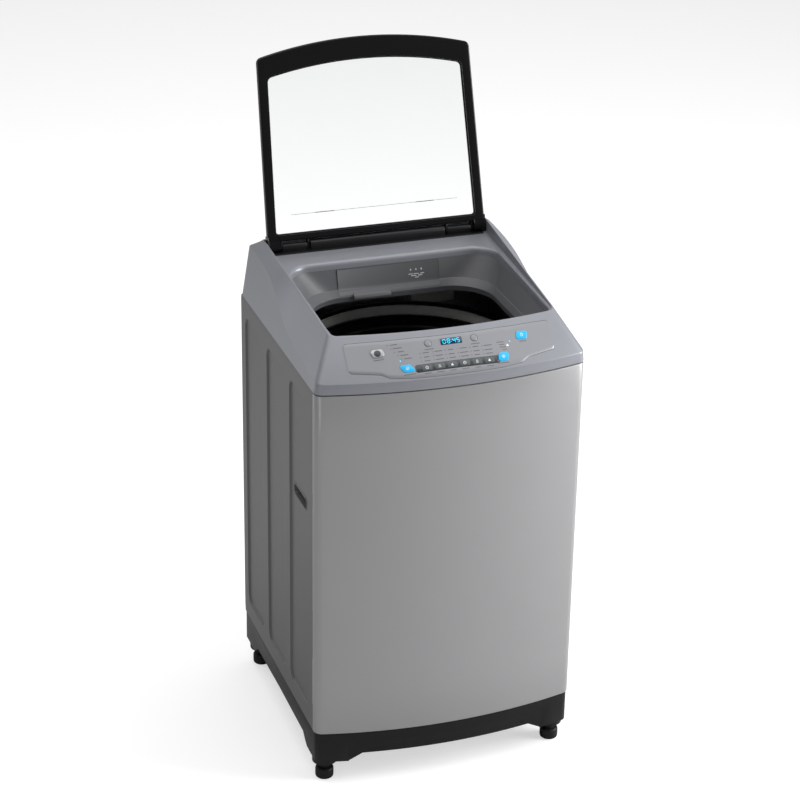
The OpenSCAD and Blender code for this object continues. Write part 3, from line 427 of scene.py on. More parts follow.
@dataclass(frozen=True)
class Finish:
    """A surface finish: base colour, how it shines, and the grain worked into it."""

    name: str
    colour: tuple[float, float, float]
    roughness: float
    metallic: float = 0.0
    coat: float = 0.0
    coat_roughness: float = 0.1
    grain_scale: float = 900.0
    grain_depth: float = 0.05
    stretch: Flat = (1.0, 1.0)
    tone: float = 0.04
    tone_scale: float = 5.0
    wear: float = 0.0
    specular: float = 0.5

    def material(self) -> bpy.types.Material:
        """Builds the finish once and hands out the same material after that."""
        found = bpy.data.materials.get(self.name)
        return found if found else self._build()

    def _build(self) -> bpy.types.Material:
        """Builds the shader: a grained, faintly uneven base under its gloss."""
        mat = bpy.data.materials.new(self.name)
        mat.use_nodes = True
        n, link = mat.node_tree.nodes, mat.node_tree.links.new
        shader = n["Principled BSDF"]
        shader.inputs["Metallic"].default_value = self.metallic
        shader.inputs["Specular IOR Level"].default_value = self.specular
        shader.inputs["Coat Weight"].default_value = self.coat
        shader.inputs["Coat Roughness"].default_value = self.coat_roughness
        grain, bump = fresh(n, "ShaderNodeGroup", "ShaderNodeBump")
        grain.node_tree = Groups.grain()
        grain.inputs["Scale"].default_value = self.grain_scale
        grain.inputs["Stretch X"].default_value = self.stretch[0]
        grain.inputs["Stretch Z"].default_value = self.stretch[1]
        grain.inputs["Tone Scale"].default_value = self.tone_scale
        link(grain.outputs["Height"], bump.inputs["Height"])
        bump.inputs["Strength"].default_value = self.grain_depth
        bump.inputs["Distance"].default_value = 0.0005
        link(bump.outputs["Normal"], shader.inputs["Normal"])
        tone, rough = fresh(n, "ShaderNodeMix", "ShaderNodeMapRange")
        tone.data_type = "RGBA"
        tone.inputs["A"].default_value = (*[c * (1 - self.tone) for c in self.colour], 1)
        tone.inputs["B"].default_value = (*[min(1.0, c * (1 + self.tone)) for c in self.colour], 1)
        link(grain.outputs["Tone"], tone.inputs["Factor"])
        base = tone.outputs["Result"]
        if self.wear > 0:
            rub, worn = fresh(n, "ShaderNodeGroup", "ShaderNodeMix")
            rub.node_tree = Groups.wear()
            rub.inputs["Amount"].default_value = self.wear
            worn.data_type = "RGBA"
            worn.inputs["B"].default_value = (*[min(1.0, c * 1.5 + 0.04) for c in self.colour], 1)
            link(rub.outputs["Mask"], worn.inputs["Factor"])
            link(base, worn.inputs["A"])
            base = worn.outputs["Result"]
        link(base, shader.inputs["Base Color"])
        rough.inputs["To Min"].default_value = max(0.02, self.roughness - 0.05)
        rough.inputs["To Max"].default_value = min(1.0, self.roughness + 0.05)
        link(grain.outputs["Height"], rough.inputs["Value"])
        link(rough.outputs["Result"], shader.inputs["Roughness"])
        return mat


@dataclass(frozen=True)
class ClearGlass:
    """Clear safety glass of the lid, faintly green at its edge."""

    name: str = "lid_safety_glass"
    tint: tuple[float, float, float] = (0.97, 0.985, 0.985)

    def material(self) -> bpy.types.Material:
        """Builds the glass once: a clear pane with a trace of haze."""
        found = bpy.data.materials.get(self.name)
        if found:
            return found
        mat = bpy.data.materials.new(self.name)
        mat.use_nodes = True
        n, link = mat.node_tree.nodes, mat.node_tree.links.new
        shader = n["Principled BSDF"]
        shader.inputs["Metallic"].default_value = 0.0
        shader.inputs["Transmission Weight"].default_value = 1.0
        shader.inputs["IOR"].default_value = 1.45
        coord, haze, rough, tone = fresh(n, "ShaderNodeTexCoord", "ShaderNodeTexNoise", "ShaderNodeMapRange",
                                         "ShaderNodeMix")
        link(coord.outputs["Object"], haze.inputs["Vector"])
        haze.inputs["Scale"].default_value = 9.0
        link(haze.outputs["Fac"], rough.inputs["Value"])
        rough.inputs["To Min"].default_value = 0.0
        rough.inputs["To Max"].default_value = 0.02
        link(rough.outputs["Result"], shader.inputs["Roughness"])
        tone.data_type = "RGBA"
        tone.inputs["A"].default_value = (*self.tint, 1)
        tone.inputs["B"].default_value = (*[c * 0.985 for c in self.tint], 1)
        link(haze.outputs["Fac"], tone.inputs["Factor"])
        link(tone.outputs["Result"], shader.inputs["Base Color"])
        return mat


@dataclass(frozen=True)
class LitFinish(Finish):
    """A finish that also gives light, for lit keys, digits and lamps."""

    glow: float = 0.5
    glow_colour: tuple[float, float, float] = (0.0, 0.55, 0.9)

    def _build(self) -> bpy.types.Material:
        """Builds the base finish and adds a light that is a little stronger in its middle tone."""
        mat = super()._build()
        n, link = mat.node_tree.nodes, mat.node_tree.links.new
        shader = n["Principled BSDF"]
        coord, cloud, mix = fresh(n, "ShaderNodeTexCoord", "ShaderNodeTexNoise", "ShaderNodeMix")
        link(coord.outputs["Object"], cloud.inputs["Vector"])
        cloud.inputs["Scale"].default_value = 60.0
        mix.data_type = "RGBA"
        mix.inputs["A"].default_value = (*self.glow_colour, 1)
        mix.inputs["B"].default_value = (*[min(1.0, c * 1.15 + 0.01) for c in self.glow_colour], 1)
        link(cloud.outputs["Fac"], mix.inputs["Factor"])
        link(mix.outputs["Result"], shader.inputs["Emission Color"])
        shader.inputs["Emission Strength"].default_value = self.glow
        return mat


@dataclass(frozen=True)
class PaleFloor(Finish):
    """The studio floor, which the camera sees lifted to near white while its bounce stays soft."""

    lift: float = 0.55

    def _build(self) -> bpy.types.Material:
        """Builds the base finish and adds the lift for rays straight or through glass."""
        mat = super()._build()
        n, link = mat.node_tree.nodes, mat.node_tree.links.new
        shader, ray, either, gain = (n["Principled BSDF"],
                                     *fresh(n, "ShaderNodeLightPath", "ShaderNodeMath", "ShaderNodeMath"))
        either.operation, gain.operation = "MAXIMUM", "MULTIPLY"
        link(ray.outputs["Is Camera Ray"], either.inputs[0])
        link(ray.outputs["Is Transmission Ray"], either.inputs[1])
        link(either.outputs[0], gain.inputs[0])
        gain.inputs[1].default_value = self.lift
        link(gain.outputs[0], shader.inputs["Emission Strength"])
        shader.inputs["Emission Color"].default_value = (1, 1, 1, 1)
        return mat


class Palette(Enum):
    """Every finish of the machine."""

    SILVER = Finish("silver_front_steel", (0.33, 0.33, 0.336), 0.36, 0.35, coat=0.1, coat_roughness=0.3,
                    grain_scale=1500.0, grain_depth=0.03, tone=0.02, wear=0.05)
    # Painted shade: the side sheets and grips are the front's silver steel, coloured far darker to stand for the
    # shade on the sides.
    SIDE = Finish("side_steel_painted_shade", (0.1, 0.101, 0.104), 0.4, 0.2, coat=0.0, coat_roughness=0.3,
                  grain_scale=1400.0, grain_depth=0.06, tone=0.03, wear=0.05)
    COVER = Finish("cover_grey_plastic", (0.25, 0.257, 0.285), 0.36, 0.25, coat=0.1, coat_roughness=0.25,
                   grain_scale=1300.0, grain_depth=0.05, tone=0.02, wear=0.04)
    LINER = Finish("liner_grey_plastic", (0.11, 0.113, 0.12), 0.42, 0.0, grain_scale=1200.0, grain_depth=0.06,
                   tone=0.03)
    FILM = Finish("fascia_silver_film", (0.25, 0.254, 0.272), 0.38, 0.3, coat=0.2, coat_roughness=0.2,
                  grain_scale=2500.0, grain_depth=0.02, stretch=(0.05, 1.0), tone=0.015)
    GLOSS = Finish("gloss_black_plastic", (0.004, 0.004, 0.0045), 0.18, 0.0,
                   grain_scale=700.0, grain_depth=0.01, tone=0.05, wear=0.05, specular=0.22)
    BARREL = Finish("hinge_barrel_black", (0.008, 0.008, 0.0085), 0.3, 0.0,
                    grain_scale=900.0, grain_depth=0.03, tone=0.05, wear=0.08, specular=0.35)
    BASE = Finish("base_black_plastic", (0.006, 0.006, 0.0065), 0.38, 0.0, grain_scale=1100.0,
                  grain_depth=0.12,
                  tone=0.06, wear=0.12, specular=0.22)
    RUBBER = Finish("foot_black_rubber", (0.006, 0.006, 0.0065), 0.5, 0.0, grain_scale=800.0, grain_depth=0.2,
                    tone=0.08, wear=0.12, specular=0.25)
    ZINC = Finish("galvanised_sheet", (0.52, 0.53, 0.54), 0.42, 0.9, grain_scale=60.0, grain_depth=0.08,
                  tone=0.12, tone_scale=45.0)
    STEEL = Finish("turned_steel", (0.6, 0.6, 0.61), 0.28, 1.0, grain_scale=1800.0, grain_depth=0.05,
                   stretch=(1.0, 0.05), tone=0.04)
    # Painted shade: the stainless drum and basket are coloured far darker than bare steel, for the shade inside the
    # tub.
    DRUM_PAINTED_SHADE = Finish("drum_stainless_painted_shade", (0.2, 0.2, 0.205), 0.27, 1.0, grain_scale=2200.0, grain_depth=0.04,
                  stretch=(0.06, 1.0), tone=0.05)
    RING = Finish("balance_ring_black", (0.005, 0.005, 0.0055), 0.24, 0.0,
                  grain_scale=900.0, grain_depth=0.04, tone=0.05, specular=0.12)
    CHARCOAL = Finish("pulsator_charcoal", (0.02, 0.021, 0.022), 0.35, 0.0, grain_scale=1100.0,
                      grain_depth=0.08,
                      tone=0.05, wear=0.1)
    ALLOY = Finish("cast_alloy", (0.5, 0.5, 0.51), 0.5, 0.85, grain_scale=500.0, grain_depth=0.3, tone=0.08)
    MOTOR = Finish("motor_lamination_paint", (0.1, 0.105, 0.11), 0.5, 0.2, grain_scale=900.0,
                   grain_depth=0.15,
                   stretch=(0.2, 6.0), tone=0.08)
    WHITE = Finish("light_moulding", (0.72, 0.73, 0.7), 0.45, 0.0, grain_scale=900.0, grain_depth=0.08,
                   tone=0.03)
    BOARD = Finish("circuit_board_green", (0.02, 0.13, 0.07), 0.35, 0.0, grain_scale=250.0, grain_depth=0.15,
                   tone=0.25, tone_scale=120.0)
    BELT = Finish("belt_rubber", (0.02, 0.02, 0.02), 0.6, 0.0, grain_scale=700.0, grain_depth=0.25,
                  stretch=(1.0, 8.0), tone=0.08)
    MESH = Finish("filter_net", (0.55, 0.6, 0.62), 0.5, 0.0, grain_scale=420.0, grain_depth=0.5, tone=0.15,
                  tone_scale=300.0)
    CYAN = LitFinish("lit_cyan_key", (0.0, 0.36, 0.68), 0.3, 0.0, coat=0.3, grain_scale=900.0,
                     grain_depth=0.02,
                     glow=0.2, glow_colour=(0.0, 0.5, 0.85))
    METAL = Finish("brushed_key_metal", (0.42, 0.425, 0.44), 0.3, 0.7, grain_scale=2600.0, grain_depth=0.05,
                   stretch=(0.08, 1.0), tone=0.04)
    STRIP = Finish("key_strip_grey", (0.075, 0.085, 0.09), 0.35, 0.0, coat=0.3, grain_scale=900.0,
                   grain_depth=0.02, tone=0.03)
    BED = Finish("key_bed_grey", (0.035, 0.04, 0.043), 0.35, 0.0, coat=0.2, grain_scale=900.0,
                 grain_depth=0.02, tone=0.03)
    SCREEN = Finish("display_dark_blue", (0.003, 0.02, 0.05), 0.08, 0.0, coat=0.8, coat_roughness=0.03,
                    grain_scale=600.0, grain_depth=0.005, tone=0.3, tone_scale=80.0)
    DIGIT = LitFinish("lit_digit", (0.0, 0.45, 0.75), 0.4, 0.0, grain_scale=900.0, grain_depth=0.01, glow=1.0,
                      glow_colour=(0.0, 0.65, 1.0))
    PRINT_DARK = Finish("print_dark_grey", (0.1, 0.1, 0.105), 0.5, 0.0, grain_scale=2500.0, grain_depth=0.02,
                        tone=0.1, tone_scale=500.0)
    PRINT_LIGHT = Finish("print_white", (0.78, 0.79, 0.8), 0.5, 0.0, grain_scale=2500.0, grain_depth=0.02,
                         tone=0.05, tone_scale=500.0)

    def material(self) -> bpy.types.Material:
        """Gives the finish's material."""
        return self.value.material()


# ---------------------------------------------------------------- geometry nodes


class Pattern:
    """Geometry node trees that copy a small shape along a row, round a circle or over a grid."""

    @staticmethod
    def _tree(name: str, inputs: Sequence[tuple[str, str, float]]) -> bpy.types.NodeTree:
        """Starts a geometry tree with its named inputs after the geometry.

        Args:
            name: the tree's name.
            inputs: (name, socket type, default) of each size.

        Returns:
            The tree, with its input and output nodes.
        """
        tree = bpy.data.node_groups.new(name, "GeometryNodeTree")
        tree.interface.new_socket(name="Geometry", in_out="INPUT", socket_type="NodeSocketGeometry")
        for label, kind, value in inputs:
            socket = tree.interface.new_socket(name=label, in_out="INPUT", socket_type=kind)
            if kind != "NodeSocketMaterial":
                socket.default_value = value
        tree.interface.new_socket(name="Geometry", in_out="OUTPUT", socket_type="NodeSocketGeometry")
        tree.nodes.new("NodeGroupInput").name = "in"
        tree.nodes.new("NodeGroupOutput").name = "out"
        return tree

    @staticmethod
    def _close(tree: bpy.types.NodeTree, copy: bpy.types.Node) -> bpy.types.NodeTree:
        """Ends a tree: turns the copies into mesh and gives them the finish."""
        n, link = tree.nodes, tree.links.new
        real, dress = fresh(n, "GeometryNodeRealizeInstances", "GeometryNodeSetMaterial")
        link(copy.outputs[0], real.inputs[0])
        link(real.outputs[0], dress.inputs["Geometry"])
        link(n["in"].outputs["Finish"], dress.inputs["Material"])
        link(dress.outputs[0], n["out"].inputs[0])
        return tree

    @staticmethod
    def round_grid() -> bpy.types.NodeTree:
        """Copies the incoming shape in staggered rows round an upright axis."""
        name = "staggered_round_grid"
        found = bpy.data.node_groups.get(name)
        if found:
            return found
        t = Pattern._tree(name, [("Count", "NodeSocketInt", 12), ("Rows", "NodeSocketInt", 3),
                                 ("Pitch", "NodeSocketFloat", 0.03), ("Turn", "NodeSocketFloat", 0.1),
                                 ("Seed", "NodeSocketInt", 7), ("Finish", "NodeSocketMaterial", 0)])
        n, link = t.nodes, t.links.new
        total, points = fresh(n, "ShaderNodeMath", "GeometryNodePoints")
        total.operation = "MULTIPLY"
        link(n["in"].outputs["Count"], total.inputs[0])
        link(n["in"].outputs["Rows"], total.inputs[1])
        link(total.outputs[0], points.inputs["Count"])
        index, row, floor = fresh(n, "GeometryNodeInputIndex", "ShaderNodeMath", "ShaderNodeMath")
        row.operation, floor.operation = "DIVIDE", "FLOOR"
        link(index.outputs[0], row.inputs[0])
        link(n["in"].outputs["Count"], row.inputs[1])
        link(row.outputs[0], floor.inputs[0])
        step, angle, shift, turned = (n.new("ShaderNodeMath") for _ in range(4))
        step.operation, angle.operation, shift.operation, turned.operation = "DIVIDE", "MULTIPLY", "MULTIPLY", "ADD"
        step.inputs[0].default_value = math.tau
        link(n["in"].outputs["Count"], step.inputs[1])
        link(index.outputs[0], angle.inputs[0])
        link(step.outputs[0], angle.inputs[1])
        link(floor.outputs[0], shift.inputs[0])
        link(n["in"].outputs["Turn"], shift.inputs[1])
        link(angle.outputs[0], turned.inputs[0])
        link(shift.outputs[0], turned.inputs[1])
        rise, lift, spin = fresh(n, "ShaderNodeMath", "ShaderNodeCombineXYZ", "ShaderNodeCombineXYZ")
        rise.operation = "MULTIPLY"
        link(floor.outputs[0], rise.inputs[0])
        link(n["in"].outputs["Pitch"], rise.inputs[1])
        link(rise.outputs[0], lift.inputs["Z"])
        link(turned.outputs[0], spin.inputs["Z"])
        place, copy = fresh(n, "GeometryNodeSetPosition", "GeometryNodeInstanceOnPoints")
        link(points.outputs[0], place.inputs["Geometry"])
        link(lift.outputs[0], place.inputs["Position"])
        link(place.outputs[0], copy.inputs["Points"])
        link(n["in"].outputs["Geometry"], copy.inputs["Instance"])
        link(spin.outputs[0], copy.inputs["Rotation"])
        return Pattern._close(t, copy)

    @staticmethod
    def stack() -> bpy.types.NodeTree:
        """Copies the incoming shape in a straight row: inputs Count and Step."""
        name = "straight_stack"
        found = bpy.data.node_groups.get(name)
        if found:
            return found
        t = Pattern._tree(name,
                          [("Count", "NodeSocketInt", 5), ("Step", "NodeSocketVector", (0.0, 0.0, 0.04)),
                                 ("Seed", "NodeSocketInt", 5), ("Finish", "NodeSocketMaterial", 0)])
        n, link = t.nodes, t.links.new
        line, copy = fresh(n, "GeometryNodeMeshLine", "GeometryNodeInstanceOnPoints")
        link(n["in"].outputs["Count"], line.inputs["Count"])
        link(n["in"].outputs["Step"], line.inputs["Offset"])
        link(line.outputs["Mesh"], copy.inputs["Points"])
        link(n["in"].outputs["Geometry"], copy.inputs["Instance"])
        return Pattern._close(t, copy)

    @staticmethod
    def places() -> bpy.types.NodeTree:
        """Copies a round-headed screw on each vertex of the incoming mesh: inputs Radius, Rise, Sides."""
        name = "screws_on_points"
        found = bpy.data.node_groups.get(name)
        if found:
            return found
        t = Pattern._tree(name, [("Radius", "NodeSocketFloat", 0.004), ("Rise", "NodeSocketFloat", 0.002),
                                 ("Sides", "NodeSocketInt", 24), ("Seed", "NodeSocketInt", 3),
                                 ("Finish", "NodeSocketMaterial", 0)])
        n, link = t.nodes, t.links.new
        head, squash, half = fresh(n, "GeometryNodeMeshUVSphere", "GeometryNodeTransform",
                                   "ShaderNodeCombineXYZ")
        ratio = n.new("ShaderNodeMath")
        ratio.operation = "DIVIDE"
        link(n["in"].outputs["Radius"], head.inputs["Radius"])
        link(n["in"].outputs["Sides"], head.inputs["Segments"])
        head.inputs["Rings"].default_value = 12
        link(n["in"].outputs["Rise"], ratio.inputs[0])
        link(n["in"].outputs["Radius"], ratio.inputs[1])
        half.inputs["X"].default_value = 1.0
        half.inputs["Z"].default_value = 1.0
        link(ratio.outputs[0], half.inputs["Y"])
        link(head.outputs["Mesh"], squash.inputs["Geometry"])
        link(half.outputs[0], squash.inputs["Scale"])
        slot, bar, join = fresh(n, "GeometryNodeMeshCube", "GeometryNodeMeshCube", "GeometryNodeJoinGeometry")
        cut = n.new("GeometryNodeMeshBoolean")
        cut.operation = "DIFFERENCE"
        slot.inputs["Size"].default_value = (0.0012, 0.012, 0.0055)
        bar.inputs["Size"].default_value = (0.0055, 0.012, 0.0012)
        link(slot.outputs["Mesh"], join.inputs[0])
        link(bar.outputs["Mesh"], join.inputs[0])
        lift = n.new("GeometryNodeTransform")
        lift.inputs["Translation"].default_value = (0.0, 0.0071, 0.0)
        link(join.outputs[0], lift.inputs["Geometry"])
        link(squash.outputs[0], cut.inputs["Mesh 1"])
        link(lift.outputs[0], cut.inputs["Mesh 2"])
        points, copy = fresh(n, "GeometryNodeMeshToPoints", "GeometryNodeInstanceOnPoints")
        link(n["in"].outputs["Geometry"], points.inputs["Mesh"])
        link(points.outputs[0], copy.inputs["Points"])
        link(cut.outputs["Mesh"], copy.inputs["Instance"])
        return Pattern._close(t, copy)

    @staticmethod
    def use(obj: bpy.types.Object, tree: bpy.types.NodeTree, values: dict[str, object]) -> bpy.types.Object:
        """Runs a tree on an object and keeps the result as plain mesh.

        Args:
            obj: the object that carries the small shape or the points.
            tree: the geometry tree.
            values: the value of each named input.

        Returns:
            The object with the finished mesh.
        """
        mod = obj.modifiers.new(tree.name, "NODES")
        mod.node_group = tree
        sockets = {s.name: s.identifier for s in tree.interface.items_tree
                   if s.item_type == "SOCKET" and s.in_out == "INPUT"}
        for label, value in values.items():
            mod[sockets[label]] = value
        return apply_modifiers(obj)


# ---------------------------------------------------------------- common frames


@dataclass
class Body:
    """Sizes that the cabinet's parts share, in millimetres."""

    half_w: float = 300.0
    front_y: float = -286.5
    rear_y: float = 286.5
    bow: float = 39.0
    corner: float = 20.0
    panel_z: float = 130.0
    panel_top: float = 949.0
    band_top: float = 972.0

    @property
    def bow_r(self) -> float:
        """Radius of the bowed front."""
        return (self.half_w**2 + self.bow**2) / (2 * self.bow)

    def bow_at(self, x: float) -> float:
        """Front face's place back from the origin plane at x across."""
        return self.front_y - self.bow + self.bow_r - math.sqrt(self.bow_r**2 - x * x)

    def front_corner(self, r: float, d: float = 0.0, steps: int = 10) -> list[Flat]:
        """Rounded right front corner of the plan, from the front to the side.

        Args:
            r: the corner's radius.
            d: how far the whole outline is drawn in.
            steps: points along the corner, less one.

        Returns:
            Points from the bowed front round to the right side wall.
        """
        cx = self.half_w - r
        cy = self.front_y - self.bow + self.bow_r - math.sqrt((self.bow_r - r) ** 2 - cx * cx)
        start = -math.pi / 2 + math.asin(cx / (self.bow_r - r))
        return [(cx + (r - d) * math.cos(lerp(start, 0, k / steps)),
                 cy + (r - d) * math.sin(lerp(start, 0, k / steps)))
                for k in range(steps + 1)]


@dataclass
class Console:
    """The sloping, bowed control surface: x across, s up the slope, z out of it."""

    body: Body
    slope: float = math.radians(45)
    length: float = 107.5

    @property
    def radius(self) -> float:
        """Radius of the surface about its up-slope axis."""
        drop = self.body.bow * math.sin(self.slope)
        return (self.body.half_w**2 + drop**2) / (2 * drop)

    def at(self, x: float, s: float, z: float = 0.0) -> Point:
        """Point at x across and s up the slope, z out of the surface."""
        a = math.asin(x / self.radius)
        across, out = (self.radius + z) * math.sin(a), (self.radius + z) * math.cos(a) - self.radius
        c, n = math.cos(self.slope), math.sin(self.slope)
        return (across, self.body.front_y - self.body.bow + s * c - out * n,
                self.body.band_top + s * n + out * c)

    def on(self, x: float, s: float) -> Placing:
        """Frame of a small piece that sits square on the surface at x, s."""
        return lambda u, v, w: self.at(x + u, s + v, w)


@dataclass
class Shelf:
    """The lid shelf: y runs back along its slope and z is square to it."""

    y0: float = 200.0
    z0: float = 1065.0
    slope: float = math.radians(2.35)

    def at(self, x: float, y: float, z: float = 0.0) -> Point:
        """Point of the shelf's frame in the workshop."""
        c, n = math.cos(self.slope), math.sin(self.slope)
        return (x, self.y0 + y * c - z * n, self.z0 + y * n + z * c)

    def height(self, y: float) -> float:
        """Height of the shelf at a workshop y."""
        return self.z0 + (y - self.y0) * math.tan(self.slope)


@dataclass
class LidPlane:
    """Frame of the open lid: u runs from the hinge axis to the front edge, v out of its top."""

    shelf: Shelf
    hinge_y: float = 22.0
    hinge_z: float = 11.5
    opened: float = math.radians(108.05)

    def at(self, x: float, u: float, v: float) -> Point:
        """Point at x across, u from the hinge axis and v through the lid's thickness."""
        c, n = math.cos(self.opened), math.sin(self.opened)
        return self.shelf.at(x, self.hinge_y - u * c + v * n, self.hinge_z + u * n + v * c)


# ---------------------------------------------------------------- studio


@dataclass
class Studio:
    """Pale floor, soft lamps and the camera."""

    eye: Point = (-1.5976, -4.5556, 3.0130)
    forward: Point = (0.2980, 0.8562, -0.4219)
    roll: float = math.radians(0.955)
    lens: float = 107.7
    air: float = 0.3
    floor: Finish = field(default_factory=lambda: PaleFloor("pale_floor", (0.6, 0.6, 0.6), 0.9, tone=0.005,
                                                            grain_scale=30.0, grain_depth=0.0))

    def camera(self) -> None:
        """Puts the camera at the working view."""
        data = bpy.data.cameras.new("view")
        data.lens, data.sensor_width = self.lens, 36.0
        cam = bpy.data.objects.new("view", data)
        bpy.context.scene.collection.objects.link(cam)
        look = Vector(self.forward).normalized()
        right = look.cross(Vector((0, 0, 1))).normalized()
        up = right.cross(look)
        right, up = (right * math.cos(self.roll) + up * math.sin(self.roll),
                     up * math.cos(self.roll) - right * math.sin(self.roll))
        m = cam.matrix_world.copy()
        for i in range(3):
            m[i][0], m[i][1], m[i][2], m[i][3] = right[i], up[i], -look[i], self.eye[i]
        cam.matrix_world = m
        bpy.context.scene.camera = cam

    def lamp(self, name: str, place: Point, aim: Point, size: Flat, power: float) -> None:
        """Adds a soft rectangular lamp.

        Args:
            name: the lamp's name.
            place: where it stands.
            aim: what it points at.
            size: its width and height.
            power: its strength in watts.
        """
        data = bpy.data.lights.new(name, "AREA")
        data.shape, data.size, data.size_y, data.energy = "RECTANGLE", size[0], size[1], power
        obj = bpy.data.objects.new(name, data)
        obj.location = place
        obj.rotation_euler = (Vector(aim) - Vector(place)).to_track_quat("-Z", "Y").to_euler()
        bpy.context.scene.collection.objects.link(obj)

    def build(self) -> None:
        """Builds the world, the floor, the lamps and the camera."""
        scene = bpy.context.scene
        scene.view_settings.view_transform = "Standard"
        scene.view_settings.look = "None"
        world = bpy.data.worlds.new("studio_air")
        world.use_nodes = True
        back = world.node_tree.nodes["Background"]
        back.inputs["Color"].default_value = (1, 1, 1, 1)
        back.inputs["Strength"].default_value = self.air
        scene.world = world
        m = Maker("floor")
        m.loft([[(-9000, -9000, 0), (9000, -9000, 0)], [(-9000, 9000, 0), (9000, 9000, 0)]], closed=False)
        obj = m.done(self.floor)
        self.lamp("key_right", (3.5, -1.5, 1.7), (0.0, -0.2, 0.6), (2.0, 2.6), 200)
        self.lamp("sky_panel", (0.0, 0.6, 5.5), (0.0, 0.3, 0.0), (7.0, 7.0), 240)
        self.lamp("rear_left", (-1.7, 1.5, 0.9), (-0.3, 0.25, 0.6), (0.8, 1.6), 4)
        self.lamp("corner_strip", (-2.4, -2.4, 0.7), (-0.3, -0.3, 0.5), (0.3, 1.8), 9)
        self.camera()


# ---------------------------------------------------------------- steel cabinet


